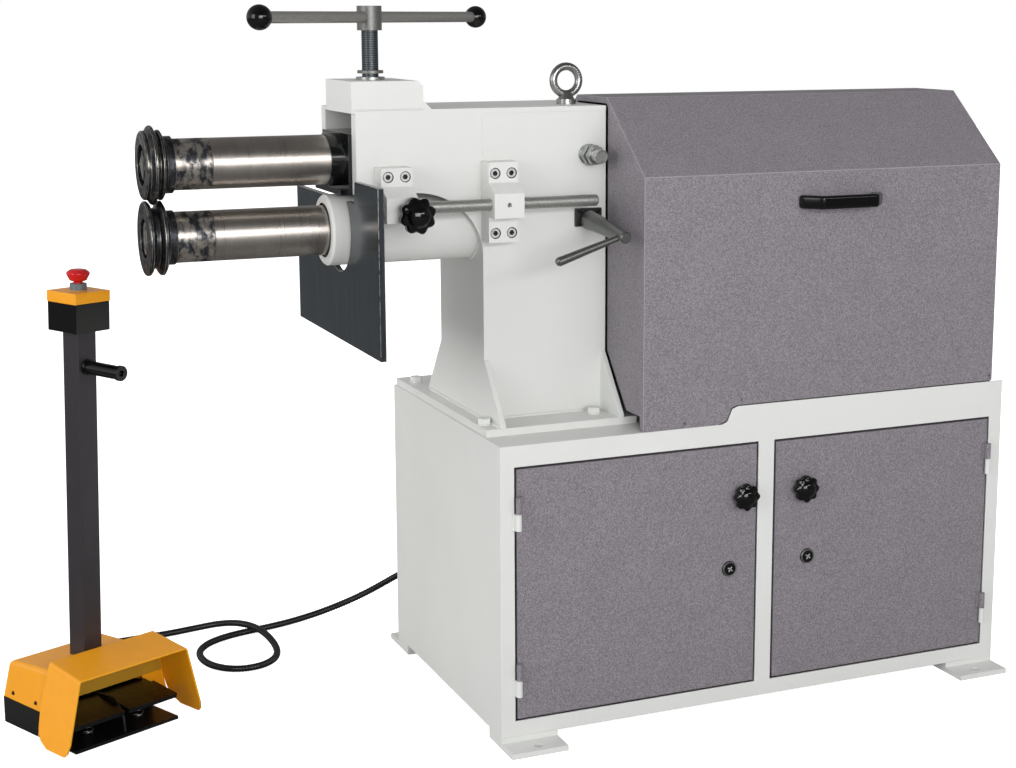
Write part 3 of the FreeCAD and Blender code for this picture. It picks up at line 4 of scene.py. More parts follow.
import bmesh
import bpy
from bpy.props import FloatProperty, FloatVectorProperty, PointerProperty
from bpy.types import Operator, Panel, PropertyGroup
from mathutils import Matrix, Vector

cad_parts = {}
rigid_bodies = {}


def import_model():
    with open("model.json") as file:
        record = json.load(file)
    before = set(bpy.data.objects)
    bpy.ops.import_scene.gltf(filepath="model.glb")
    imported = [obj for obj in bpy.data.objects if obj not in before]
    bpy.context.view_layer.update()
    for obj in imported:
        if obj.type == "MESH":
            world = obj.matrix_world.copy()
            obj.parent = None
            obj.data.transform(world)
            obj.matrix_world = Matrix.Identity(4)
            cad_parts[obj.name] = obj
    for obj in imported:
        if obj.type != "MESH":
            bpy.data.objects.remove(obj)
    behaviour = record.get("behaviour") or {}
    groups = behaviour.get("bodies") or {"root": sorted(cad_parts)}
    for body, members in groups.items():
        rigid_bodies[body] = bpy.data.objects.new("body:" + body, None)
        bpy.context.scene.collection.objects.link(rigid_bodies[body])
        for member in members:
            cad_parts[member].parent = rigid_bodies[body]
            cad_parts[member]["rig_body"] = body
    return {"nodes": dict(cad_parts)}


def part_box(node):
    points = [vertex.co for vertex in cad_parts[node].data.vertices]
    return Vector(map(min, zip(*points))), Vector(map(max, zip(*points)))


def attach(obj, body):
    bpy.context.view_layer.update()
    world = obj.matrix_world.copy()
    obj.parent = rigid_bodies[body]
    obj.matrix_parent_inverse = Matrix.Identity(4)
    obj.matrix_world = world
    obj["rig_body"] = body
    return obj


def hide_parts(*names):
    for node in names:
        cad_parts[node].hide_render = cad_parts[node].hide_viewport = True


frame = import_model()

bl_info = {
    "name": "Beading machine",
    "version": (1, 0, 0),
    "blender": (4, 5, 0),
    "location": "3D View > Sidebar > Beading machine",
    "description": "Finishes, small parts and studio for a beading machine and its pedal station",
    "category": "Object",
}


# Colours and sizes

def linear(code):
    """An sRGB hex colour as linear red, green, blue and alpha."""
    values = [int(code[i:i + 2], 16) / 255 for i in (1, 3, 5)]
    curve = [v / 12.92 if v <= 0.04045 else ((v + 0.055) / 1.055) ** 2.4 for v in values]
    return (*curve, 1.0)


def colour_prop(name, description, code):
    """A colour that a user can change."""
    return FloatVectorProperty(name=name, description=description, subtype="COLOR", size=4,
                               min=0.0, max=1.0, default=linear(code))


def length_prop(name, description, metres):
    """A length that a user can change."""
    return FloatProperty(name=name, description=description, default=metres, min=0.0, unit="LENGTH",
                         subtype="DISTANCE", precision=5)


class FinishColours(PropertyGroup):
    enamel: colour_prop("Enamel", "White enamel on cabinet, frame and arm", "#DCDDDA")
    hammer: colour_prop("Hammer paint", "Grey hammer paint on cover and doors", "#817D82")
    bright_steel: colour_prop("Bright steel", "Turned steel of the shafts", "#C2BBB4")
    worn_steel: colour_prop("Worn steel", "Blackened steel of rollers and sleeves", "#43464B")
    zinc: colour_prop("Zinc", "Zinc plated screws, studs and eye", "#B3B5B2")
    drawn_steel: colour_prop("Drawn steel", "Dull drawn steel of the rod and the tee bar", "#B4B4B0")
    plate_steel: colour_prop("Stop plate", "Blue-black burnished stop plate", "#20282E")
    plastic: colour_prop("Black plastic", "Knobs, balls, grip and handle", "#070708")
    hood: colour_prop("Hood", "Yellow enamel of the pedal hood", "#F3A213")
    # painted shade: this darker yellow goes under the hood's roof and on the wall behind the pedals
    hood_painted_shade: colour_prop("Hood inside", "Duller yellow inside the hood", "#B98A1E")
    tread: colour_prop("Tread", "Black wrinkle paint on pedals and base", "#0B0B0B")
    stalk: colour_prop("Stalk", "Dark paint on the stalk", "#2E2A2F")
    lever: colour_prop("Lever", "Grey casting of the hand lever", "#7F817F")
    stop_red: colour_prop("Stop button", "Red mushroom button", "#C8171D")
    stop_yellow: colour_prop("Stop box lid", "Yellow lid of the stop box", "#F0A012")
    conduit: colour_prop("Conduit", "Black corrugated conduit", "#17181A")


class EdgeSizes(PropertyGroup):
    plate_edge: length_prop("Plate edge", "Rounding of the welded plates", 0.0012)
    sheet_edge: length_prop("Sheet edge", "Rounding of the folded sheet", 0.0018)
    machined_edge: length_prop("Machined edge", "Chamfer of turned and milled parts", 0.0006)
    conduit_pitch: length_prop("Conduit pitch", "Distance between two ribs of the conduit", 0.0058)
    weld: length_prop("Weld", "Radius of the weld beads", 0.0035)
    conduit_depth: length_prop("Conduit groove", "Depth of the grooves between the ribs", 0.0011)


class StudioSettings(PropertyGroup):
    front_power: FloatProperty(name="Front lamp", description="Power of the large lamp behind the camera",
                               default=86.0, min=0.0, unit="POWER")
    left_power: FloatProperty(name="Left lamp", description="Power of the lamp on the left", default=40.0,
                              min=0.0, unit="POWER")
    strip_power: FloatProperty(name="Strip lamp", description="Power of the long lamp that lines the shafts",
                               default=24.0, min=0.0, unit="POWER")
    room: FloatProperty(name="Room light", description="Light of the room's pale walls", default=1.5, min=0.0)


def colours():
    return bpy.context.scene.machine_colours


def edges():
    return bpy.context.scene.machine_edges


def studio():
    return bpy.context.scene.machine_studio


# Nodes and materials

def add(tree, kind, settings=None, inputs=None, stops=None):
    """A node with its settings, its values or links, and the stops of a ramp."""
    node = tree.nodes.new(kind)
    for name, value in (settings or {}).items():
        setattr(node, name, value)
    for name, value in (inputs or {}).items():
        if isinstance(value, bpy.types.NodeSocket):
            tree.links.new(value, node.inputs[name])
        else:
            node.inputs[name].default_value = value
    if stops:
        ramp = node.color_ramp.elements
        while len(ramp) < len(stops):
            ramp.new(0.5)
        for element, (position, colour) in zip(ramp, stops):
            element.position = position
            element.color = colour
    return node


def per(millimetres):
    """Texture scale at which a pattern is about that large."""
    return 1000.0 / millimetres


def shade(colour, factor):
    """A colour made darker or lighter."""
    return (*[min(1.0, c * factor) for c in colour[:3]], 1.0)


def grey(value):
    """A linear grey."""
    return (value, value, value, 1.0)


def new_material(name):
    """An empty material and its node tree."""
    material = bpy.data.materials.get(name)
    if material:
        return material, None
    material = bpy.data.materials.new(name)
    material.use_nodes = True
    material.node_tree.nodes.clear()
    return material, material.node_tree


def patterned(name, surface, stops, marks, clouds=None, stretch=None, relief=None, dull=None):
    """A material whose tone, relief and roughness follow noise patterns on the object.

    surface holds inputs of the shader, stops the ramp of the tone, marks the inputs of the noise, and clouds
    those of a second noise that sets the tone alone. stretch is the marks' scale along the axes, relief their
    strength and height in metres, and dull two of their values with the roughness at each.
    """
    material, tree = new_material(name)
    if tree:
        place = add(tree, "ShaderNodeTexCoord").outputs["Object"]
        spot = place
        if stretch:
            mapping = add(tree, "ShaderNodeMapping", inputs={"Vector": place, "Scale": stretch})
            spot = mapping.outputs["Vector"]
        mark = add(tree, "ShaderNodeTexNoise", inputs={"Vector": spot, **marks}).outputs["Fac"]
        cloud = mark
        if clouds:
            cloud = add(tree, "ShaderNodeTexNoise", inputs={"Vector": place, **clouds}).outputs["Fac"]
        tone = add(tree, "ShaderNodeValToRGB", inputs={"Fac": cloud}, stops=stops)
        values = {"Base Color": tone.outputs["Color"], **surface}
        if dull:
            low, high, at_low, at_high = dull
            spread = add(tree, "ShaderNodeMapRange", inputs={"Value": mark, "From Min": low, "From Max": high,
                                                             "To Min": at_low, "To Max": at_high})
            values["Roughness"] = spread.outputs["Result"]
        if relief:
            strength, depth = relief
            bump = add(tree, "ShaderNodeBump", inputs={"Strength": strength, "Distance": depth,
                                                       "Height": mark})
            values["Normal"] = bump.outputs["Normal"]
        skin = add(tree, "ShaderNodeBsdfPrincipled", inputs=values)
        add(tree, "ShaderNodeOutputMaterial", inputs={"Surface": skin.outputs["BSDF"]})
    return material


def sprayed_enamel():
    """White enamel sprayed on welded plate: a soft gloss with a faint orange peel."""
    white = colours().enamel
    # orange peel in waves of about 4 mm, and clouds a hand wide that keep the large panels from looking flat
    return patterned("sprayed_enamel", {"Roughness": 0.42, "IOR": 1.5},
                     ((0.3, shade(white, 0.955)), (0.7, white)), marks={"Scale": per(4), "Detail": 1.0},
                     clouds={"Scale": per(180), "Detail": 3.0}, relief=(0.25, 0.0001))


def hammer_enamel():
    """Grey hammer enamel on sheet: fine pale and dark grains under a satin skin."""
    material, tree = new_material("hammer_enamel")
    if tree:
        paint_grey = colours().hammer
        place = add(tree, "ShaderNodeTexCoord").outputs["Object"]
        # grains of about 2 mm, the finest that shows from a few metres
        grain = add(tree, "ShaderNodeTexNoise", inputs={"Vector": place, "Scale": per(1.9), "Detail": 3.0,
                                                        "Roughness": 0.75})
        speckle = add(tree, "ShaderNodeValToRGB", inputs={"Fac": grain.outputs["Fac"]},
                      stops=((0.36, shade(paint_grey, 0.58)), (0.5, paint_grey),
                             (0.66, shade(paint_grey, 1.55))))
        cloud = add(tree, "ShaderNodeTexNoise", inputs={"Vector": place, "Scale": per(60), "Detail": 2.0})
        tint = add(tree, "ShaderNodeValToRGB", inputs={"Fac": cloud.outputs["Fac"]},
                   stops=((0.35, linear("#F8F6F8")), (0.65, linear("#FDFAFD"))))
        tone = add(tree, "ShaderNodeMix", {"data_type": "RGBA", "blend_type": "MULTIPLY"},
                   {0: 1.0, 6: speckle.outputs["Color"], 7: tint.outputs["Color"]})
        bump = add(tree, "ShaderNodeBump", inputs={"Strength": 0.35, "Distance": 0.00025,
                                                   "Height": grain.outputs["Fac"]})
        paint = add(tree, "ShaderNodeBsdfPrincipled",
                    inputs={"Base Color": tone.outputs[2], "Roughness": 0.48, "IOR": 1.5,
                            "Normal": bump.outputs["Normal"]})
        add(tree, "ShaderNodeOutputMaterial", inputs={"Surface": paint.outputs["BSDF"]})
    return material


def turned_steel():
    """Bright steel turned about the X axis: fine rings that spread its reflections."""
    steel = colours().bright_steel
    # tool rings of 0.9 mm along the shaft, under stains of about 35 mm
    return patterned("lathe_turned_steel", {"Metallic": 1.0}, ((0.35, shade(steel, 0.86)), (0.65, steel)),
                     marks={"Scale": 1.0, "Detail": 2.0}, stretch=(per(0.9), 6.0, 6.0),
                     clouds={"Scale": per(35), "Detail": 4.0}, relief=(0.08, 0.00003),
                     dull=(0.3, 0.7, 0.27, 0.38))


def blackened_steel(name="blackened_steel", rubbed=0.68, bare="#6E675E", blotch_mm=14.0, twist=0.6):
    """Blackened tool steel, rubbed bare in blotches; rubbed is the noise value where it is quite bare."""
    black = colours().worn_steel
    return patterned(name, {"Metallic": 0.85},
                     ((rubbed - 0.26, shade(black, 0.4)), (rubbed - 0.14, black), (rubbed, linear(bare))),
                     marks={"Scale": per(blotch_mm), "Detail": 5.0, "Roughness": 0.65, "Distortion": twist},
                     stretch=(1.6, 1.0, 1.0), relief=(0.3, 0.0001), dull=(0.35, 0.65, 0.5, 0.28))


def rubbed_edge():
    """Bare steel where the blackening is worn off the corners."""
    return patterned("rubbed_edge", {"Metallic": 1.0, "Roughness": 0.3},
                     ((0.36, linear("#5B5650")), (0.55, linear("#BDB7AE"))),
                     marks={"Scale": per(9), "Detail": 4.0})


def zinc_plate():
    """Zinc plated steel: pale, slightly cloudy, with soft reflections."""
    zinc = colours().zinc
    return patterned("zinc_plate", {"Metallic": 1.0}, ((0.35, shade(zinc, 0.7)), (0.62, zinc)),
                     marks={"Scale": per(11), "Detail": 4.0}, dull=(0.3, 0.7, 0.38, 0.24))


def oiled_screw_steel():
    """Oiled dark steel of the pressure screw, with its thread as fine rings along Z."""
    material, tree = new_material("oiled_screw_steel")
    if tree:
        place = add(tree, "ShaderNodeTexCoord").outputs["Object"]
        # a 3 mm thread drawn as rings; at scale 1 the texture has 3.18 bands to the metre
        thread = add(tree, "ShaderNodeTexWave", {"bands_direction": "Z"},
                     {"Vector": place, "Scale": per(3.0) / 3.18, "Distortion": 0.4, "Detail": 1.0})
        tone = add(tree, "ShaderNodeValToRGB", inputs={"Fac": thread.outputs["Fac"]},
                   stops=((0.2, linear("#2F3336")), (0.8, linear("#6C7378"))))
        bump = add(tree, "ShaderNodeBump", inputs={"Strength": 0.4, "Distance": 0.0005,
                                                   "Height": thread.outputs["Fac"]})
        metal = add(tree, "ShaderNodeBsdfPrincipled",
                    inputs={"Base Color": tone.outputs["Color"], "Metallic": 0.9, "Roughness": 0.38,
                            "Normal": bump.outputs["Normal"]})
        add(tree, "ShaderNodeOutputMaterial", inputs={"Surface": metal.outputs["BSDF"]})
    return material


def burnished_plate():
    """Blue-black burnished plate, glossy enough to mirror the shaft in front of it."""
    blue = colours().plate_steel
    # upright marks about 7 mm wide
    return patterned("burnished_plate", {"IOR": 1.6}, ((0.3, shade(blue, 0.7)), (0.7, shade(blue, 1.4))),
                     marks={"Scale": 1.0, "Detail": 3.0}, stretch=(per(7), per(7), 6.0),
                     dull=(0.0, 1.0, 0.14, 0.26))


def moulded_plastic(name, colour, roughness):
    """Moulded plastic: even colour, a faint grain and a clean gloss."""
    return patterned(name, {"Roughness": roughness, "IOR": 1.5},
                     ((0.35, shade(colour, 0.92)), (0.65, colour)),
                     marks={"Scale": per(1.5), "Detail": 2.0}, relief=(0.1, 0.0001))


def brushed_paint(name, colour, roughness, cloud_mm=40.0, depth=0.9):
    """Workshop paint on sheet or cast metal: satin, slightly uneven."""
    return patterned(name, {"Roughness": roughness, "IOR": 1.5},
                     ((0.3, shade(colour, depth)), (0.7, colour)), marks={"Scale": per(2.5), "Detail": 1.0},
                     clouds={"Scale": per(cloud_mm), "Detail": 4.0}, relief=(0.2, 0.0001))


def wrinkle_paint():
    """Black wrinkle paint on the treads: glossy creases, drawn 9 mm apart so that they show."""
    black = colours().tread
    return patterned("wrinkle_paint", {"Roughness": 0.2, "IOR": 1.5},
                     ((0.35, shade(black, 0.4)), (0.75, shade(black, 2.0))),
                     marks={"Scale": per(9), "Detail": 4.0, "Distortion": 1.2}, relief=(0.8, 0.0012))


def cast_metal(name, colour, metallic, roughness):
    """Sand-cast or rolled metal: a coarse skin and uneven tone."""
    return patterned(name, {"Metallic": metallic, "Roughness": roughness},
                     ((0.3, shade(colour, 0.7)), (0.7, colour)), marks={"Scale": per(3), "Detail": 4.0},
                     relief=(0.3, 0.0002))


def black_plastic():
    return moulded_plastic("phenolic_plastic", colours().plastic, roughness=0.12)


def tread_paint():
    return brushed_paint("tread_paint", colours().tread, roughness=0.4)


def drawn_steel():
    return cast_metal("drawn_steel", colours().drawn_steel, metallic=0.8, roughness=0.5)


def pale_zinc():
    return cast_metal("pale_zinc", linear("#D6D8D6"), metallic=0.3, roughness=0.35)


def housing_paint():
    return cast_metal("cast_housing", linear("#5C6062"), metallic=0.0, roughness=0.55)


def hood_enamel():
    return brushed_paint("hood_enamel", colours().hood, roughness=0.36, cloud_mm=25.0, depth=0.95)


# Places on the machine, in metres and radians

SHAFT_Y = -0.055
LOWER_SHAFT_Z = 0.890
SCREW_X = -0.655
TEE_BAR_Z = 1.248
TEE_BAR_TURN = math.radians(37.8)
STATION_FOOT = (-1.190, -0.010)
STATION_TURN = math.radians(25.0)

# Euler angles that turn a pan head from +Z to the front
FORWARD = (math.pi / 2, 0.0, 0.0)

# Cap screws of the rod brackets, X and Z: left pair, then the middle bracket's two pairs
SCREWS = ((-0.66275, 0.986), (-0.63275, 0.986), (-0.47225, 0.986), (-0.44225, 0.986), (-0.47225, 0.8835),
          (-0.44225, 0.8835))


def from_cap_screw(point):
    """Distance from the axis of the nearest cap screw."""
    return min(math.hypot(point.x - x, point.z - z) for x, z in SCREWS)


def on_floor(u, v, z):
    """A point of the pedal station's turned frame as a point of the machine's frame."""
    x, y = STATION_FOOT
    c, s = math.cos(STATION_TURN), math.sin(STATION_TURN)
    return (x + u * c - v * s, y + u * s + v * c, z)


def station(x, y):
    """A machine direction in the pedal station's turned frame."""
    c, s = math.cos(STATION_TURN), math.sin(STATION_TURN)
    return (x * c + y * s, y * c - x * s)


# Meshes

def merged_copy(node):
    """A frame node's mesh with its loose triangles joined into whole faces."""
    shape = bmesh.new()
    shape.from_mesh(frame["nodes"][node].data)
    bmesh.ops.remove_doubles(shape, verts=shape.verts, dist=2e-6)
    bmesh.ops.dissolve_limit(shape, angle_limit=math.radians(0.3), verts=shape.verts, edges=shape.edges)
    mesh = bpy.data.meshes.new(node + "_finish")
    shape.to_mesh(mesh)
    shape.free()
    if "custom_normal" in mesh.attributes:
        mesh.attributes.remove(mesh.attributes["custom_normal"])
    return mesh


def new_piece(name, mesh, materials):
    """An object at the origin with its materials."""
    piece = bpy.data.objects.new(name, mesh)
    bpy.context.scene.collection.objects.link(piece)
    mesh.materials.clear()
    for material in materials:
        mesh.materials.append(material)
    return piece


def settle(piece):
    """The piece's modifiers made part of its mesh."""
    bpy.context.view_layer.update()
    graph = bpy.context.evaluated_depsgraph_get()
    mesh = bpy.data.meshes.new_from_object(piece.evaluated_get(graph))
    piece.modifiers.clear()
    piece.data = mesh


def shade_smooth(piece, angle=38.0):
    """Smooth shading that stays flat on flat faces and sharp on hard corners."""
    piece.data.polygons.foreach_set("use_smooth", [True] * len(piece.data.polygons))
    piece.data.set_sharp_from_angle(angle=math.radians(angle))
    weighted = piece.modifiers.new("weighted", "WEIGHTED_NORMAL")
    weighted.keep_sharp = True
    settle(piece)


def round_edges(piece, radius, segments=3, angle=35.0, edge_material=-1):
    """Round the piece's sharp edges; the new faces may take a material of their own."""
    bevel = piece.modifiers.new("edges", "BEVEL")
    bevel.width = radius
    bevel.segments = segments
    bevel.limit_method = "ANGLE"
    bevel.angle_limit = math.radians(angle)
    bevel.material = edge_material
    settle(piece)


def join_frame(piece, node, replaced=True):
    """The piece rides where the node rides and, when replaced, stands for it."""
    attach(piece, frame["nodes"][node]["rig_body"])
    if replaced:
        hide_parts(node)


def dress(node, materials, radius, segments=3, choose=None, edge_material=-1, angle=35.0):
    """A frame node with rounded edges in its finish. choose gives each face its material's number."""
    mesh = merged_copy(node)
    piece = new_piece(node + "_finish", mesh, materials)
    if choose:
        for face in mesh.polygons:
            face.material_index = choose(face.center, face.normal)
    if radius > 0:
        round_edges(piece, radius, segments, angle, edge_material)
    shade_smooth(piece)
    join_frame(piece, node)


# Conduit route, from the pedal gland to the cabinet gland, in metres
CONDUIT = ((-1.1461, 0.2863, 0.026), (-1.1664, 0.3298, 0.026), (-1.171, 0.412, 0.018), (-1.148, 0.462, 0.010),
           (-1.102, 0.497, 0.007), (-1.045, 0.513, 0.007), (-0.984, 0.517, 0.007), (-0.925, 0.521, 0.007),
           (-0.872, 0.523, 0.010), (-0.824, 0.510, 0.018), (-0.789, 0.479, 0.024), (-0.763, 0.435, 0.024),
           (-0.749, 0.386, 0.016), (-0.747, 0.336, 0.008), (-0.764, 0.290, 0.007), (-0.802, 0.262, 0.007),
           (-0.849, 0.264, 0.007), (-0.884, 0.297, 0.007), (-0.898, 0.344, 0.007), (-0.893, 0.394, 0.007),
           (-0.864, 0.434, 0.007), (-0.818, 0.459, 0.007), (-0.765, 0.472, 0.007), (-0.706, 0.484, 0.007),
           (-0.645, 0.501, 0.009), (-0.582, 0.515, 0.017), (-0.515, 0.502, 0.043), (-0.457, 0.462, 0.087),
           (-0.417, 0.412, 0.127), (-0.400, 0.359, 0.150), (-0.400, 0.309, 0.150))
CONDUIT_THICKNESS = 0.014


def cord_line(points):
    """The smooth line of a free cord through its route, as a list of points."""
    curve = bpy.data.curves.new("conduit_line", "CURVE")
    curve.dimensions = "3D"
    curve.resolution_u = 24
    spline = curve.splines.new("NURBS")
    spline.points.add(len(points) - 1)
    for place, point in zip(spline.points, points):
        place.co = (*point, 1.0)
    spline.order_u = 3
    spline.use_endpoint_u = True
    holder = bpy.data.objects.new("conduit_line", curve)
    bpy.context.scene.collection.objects.link(holder)
    bpy.context.view_layer.update()
    graph = bpy.context.evaluated_depsgraph_get()
    line = bpy.data.meshes.new_from_object(holder.evaluated_get(graph))
    path = [tuple(v.co) for v in line.vertices]
    bpy.data.objects.remove(holder)
    return path


def polyline(name, path):
    """A mesh of edges through the points."""
    mesh = bpy.data.meshes.new(name)
    mesh.from_pydata(path, [(i, i + 1) for i in range(len(path) - 1)], [])
    return mesh


def open_tree(name, sizes):
    """A tree that takes a mesh and named sizes, its inputs, and the identifier of each size's socket."""
    tree = bpy.data.node_groups.new(name, "GeometryNodeTree")
    face = tree.interface
    face.new_socket("Geometry", in_out="INPUT", socket_type="NodeSocketGeometry")
    sockets = {}
    for label, value in sizes.items():
        kind = "NodeSocketVector" if isinstance(value, tuple) else "NodeSocketFloat"
        socket = face.new_socket(label, in_out="INPUT", socket_type=kind)
        socket.default_value = value
        sockets[label] = socket.identifier
    face.new_socket("Geometry", in_out="OUTPUT", socket_type="NodeSocketGeometry")
    return tree, add(tree, "NodeGroupInput").outputs, sockets


def close_tree(tree, geometry, material):
    """The tree's end: real meshes in their material."""
    real = add(tree, "GeometryNodeRealizeInstances", inputs={"Geometry": geometry})
    painted = add(tree, "GeometryNodeSetMaterial", inputs={"Geometry": real.outputs["Geometry"],
                                                           "Material": material})
    add(tree, "NodeGroupOutput", inputs={0: painted.outputs["Geometry"]})


def grow(piece, tree, sockets, sizes):
    """Run a node tree on the piece with these sizes and keep the mesh that it makes."""
    modifier = piece.modifiers.new("grow", "NODES")
    modifier.node_group = tree
    for label, value in sizes.items():
        modifier[sockets[label]] = value
    settle(piece)


def ribbed_tube(piece, material, radius, groove, pitch):
    """The piece's line of edges turned into a corrugated tube."""
    tree, given, sockets = open_tree("ribbed_tube", {"Radius": 0.007, "Groove": 0.001, "Pitch": 0.004})
    line = add(tree, "GeometryNodeMeshToCurve", inputs={"Mesh": given["Geometry"]})
    # four rings of points to each rib
    step = add(tree, "ShaderNodeMath", {"operation": "DIVIDE"}, {0: given["Pitch"], 1: 4.0})
    even = add(tree, "GeometryNodeResampleCurve", {"mode": "LENGTH"},
               {"Curve": line.outputs["Curve"], "Length": step.outputs[0]})
    run = add(tree, "GeometryNodeSplineParameter").outputs["Length"]
    turns = add(tree, "ShaderNodeMath", {"operation": "DIVIDE"}, {0: run, 1: given["Pitch"]})
    angle = add(tree, "ShaderNodeMath", {"operation": "MULTIPLY"}, {0: turns.outputs[0], 1: math.tau})
    wave = add(tree, "ShaderNodeMath", {"operation": "COSINE"}, {0: angle.outputs[0]})
    drop = add(tree, "ShaderNodeMapRange", inputs={"Value": wave.outputs[0], "From Min": -1.0,
                                                   "From Max": 1.0, "To Min": given["Groove"], "To Max": 0.0})
    size = add(tree, "ShaderNodeMath", {"operation": "SUBTRACT"}, {0: given["Radius"], 1: drop.outputs[0]})
    circle = add(tree, "GeometryNodeCurvePrimitiveCircle", inputs={"Resolution": 14, "Radius": 1.0})
    tube = add(tree, "GeometryNodeCurveToMesh",
               inputs={"Curve": even.outputs["Curve"], "Profile Curve": circle.outputs["Curve"],
                       "Scale": size.outputs[0], "Fill Caps": True})
    close_tree(tree, tube.outputs["Mesh"], material)
    grow(piece, tree, sockets, {"Radius": radius, "Groove": groove, "Pitch": pitch})


def rings_mesh(name, rings):
    """A closed mesh through rings of equal counts of points, capped at both ends."""
    count = len(rings[0])
    points = [point for ring in rings for point in ring]
    faces = []
    for i in range(len(rings) - 1):
        for j in range(count):
            k = (j + 1) % count
            faces.append((i * count + j, i * count + k, (i + 1) * count + k, (i + 1) * count + j))
    faces.append(tuple(range(count - 1, -1, -1)))
    last = (len(rings) - 1) * count
    faces.append(tuple(range(last, last + count)))
    mesh = bpy.data.meshes.new(name)
    mesh.from_pydata(points, [], faces)
    shape = bmesh.new()
    shape.from_mesh(mesh)
    bmesh.ops.recalc_face_normals(shape, faces=shape.faces)
    shape.to_mesh(mesh)
    shape.free()
    return mesh


def star_knob(name, node, centre, front, back, radius, turn=0.0):
    """A moulded knob on a Y axis with round lobes, concave valleys and a domed middle."""
    x, z = centre
    depth = back - front
    lobe_count = 8
    valley = radius * 0.85
    # each ring: share of the depth from the front, radius, share of the lobes
    profile = [(0.0, 0.02, 0.0), (0.012, 0.18, 0.0), (0.05, 0.36, 0.0), (0.11, 0.50, 0.0), (0.19, 0.60, 0.0),
               (0.24, 0.66, 0.1), (0.27, 0.74, 0.5), (0.31, 0.80, 0.85), (0.37, 0.85, 1.0), (0.66, 0.85, 1.0),
               (0.72, 0.81, 0.8), (0.75, 0.72, 0.3), (0.76, 0.44, 0.0), (1.0, 0.42, 0.0)]
    count = 160
    rings = []
    for share, size, lobes in profile:
        ring = []
        for j in range(count):
            a = math.tau * j / count
            # the power makes the lobes wider than the valleys
            wave = (0.5 + 0.5 * math.cos(lobe_count * (a - math.radians(turn)))) ** 0.75
            r = min(radius * size + lobes * wave * (radius - valley), radius)
            ring.append((x + r * math.cos(a), front + depth * share, z + r * math.sin(a)))
        rings.append(ring)
    knob = new_piece(name, rings_mesh(name, rings), [black_plastic()])
    shade_smooth(knob, 30.0)
    join_frame(knob, node, replaced=False)


def stem_only(node, plane_y):
    """A knob's stem behind the plane, without its lobed head."""
    mesh = merged_copy(node)
    shape = bmesh.new()
    shape.from_mesh(mesh)
    cut = bmesh.ops.bisect_plane(shape, geom=shape.verts[:] + shape.edges[:] + shape.faces[:],
                                 plane_co=(0.0, plane_y, 0.0), plane_no=(0.0, -1.0, 0.0), clear_outer=True)
    bmesh.ops.edgeloop_fill(shape, edges=[e for e in cut["geom_cut"] if isinstance(e, bmesh.types.BMEdge)])
    shape.to_mesh(mesh)
    shape.free()
    piece = new_piece(node + "_stem", mesh, [zinc_plate()])
    shade_smooth(piece)
    join_frame(piece, node)


def screw_heads(name, node, places, turn, material, radius=0.004, height=0.0022):
    """Pan heads with a cross recess at the places, their axes turned from +Z by the Euler angles."""
    mesh = bpy.data.meshes.new(name)
    mesh.from_pydata(places, [], [])
    piece = new_piece(name, mesh, [material])
    tree, given, sockets = open_tree(name + "_heads", {"Radius": 0.004, "Height": 0.002,
                                                       "Turn": (0.0, 0.0, 0.0)})
    # the head's top, and the length and width of its recess, as shares of the radius
    shares = {}
    for use, share in (("top", 0.55), ("long", 1.1), ("thin", 0.22)):
        product = add(tree, "ShaderNodeMath", {"operation": "MULTIPLY"}, {0: given["Radius"], 1: share})
        shares[use] = product.outputs[0]
    head = add(tree, "GeometryNodeMeshCone", {"fill_type": "NGON"},
               {"Vertices": 20, "Side Segments": 3, "Radius Top": shares["top"],
                "Radius Bottom": given["Radius"], "Depth": given["Height"]})
    size = add(tree, "ShaderNodeCombineXYZ", inputs={"X": shares["long"], "Y": shares["thin"],
                                                     "Z": given["Height"]})
    slot = add(tree, "GeometryNodeMeshCube", inputs={"Size": size.outputs["Vector"]})
    other = add(tree, "GeometryNodeTransform", inputs={"Geometry": slot.outputs["Mesh"],
                                                       "Rotation": (0.0, 0.0, math.pi / 2)})
    cross = add(tree, "GeometryNodeJoinGeometry", inputs={"Geometry": slot.outputs["Mesh"]})
    tree.links.new(other.outputs["Geometry"], cross.inputs["Geometry"])
    lift = add(tree, "ShaderNodeCombineXYZ", inputs={"Z": given["Height"]})
    raised = add(tree, "GeometryNodeTransform", inputs={"Geometry": cross.outputs["Geometry"],
                                                        "Translation": lift.outputs["Vector"]})
    cut = add(tree, "GeometryNodeMeshBoolean", {"operation": "DIFFERENCE"},
              {"Mesh 1": head.outputs["Mesh"], "Mesh 2": raised.outputs["Geometry"]})
    rotation = add(tree, "FunctionNodeEulerToRotation", inputs={"Euler": given["Turn"]})
    placed = add(tree, "GeometryNodeInstanceOnPoints",
                 inputs={"Points": given["Geometry"], "Instance": cut.outputs["Mesh"],
                         "Rotation": rotation.outputs["Rotation"]})
    close_tree(tree, placed.outputs["Instances"], material)
    grow(piece, tree, sockets, {"Radius": radius, "Height": height, "Turn": turn})
    shade_smooth(piece)
    join_frame(piece, node, replaced=False)


def weld_bead(name, node, path, radius):
    """A rippled bead of weld under enamel along a path."""
    enamel = sprayed_enamel()
    piece = new_piece(name, polyline(name, path), [enamel])
    ribbed_tube(piece, enamel, radius, groove=radius * 0.22, pitch=radius * 1.1)
    shade_smooth(piece, 80.0)
    join_frame(piece, node, replaced=False)


# Operators: one for each group of pieces

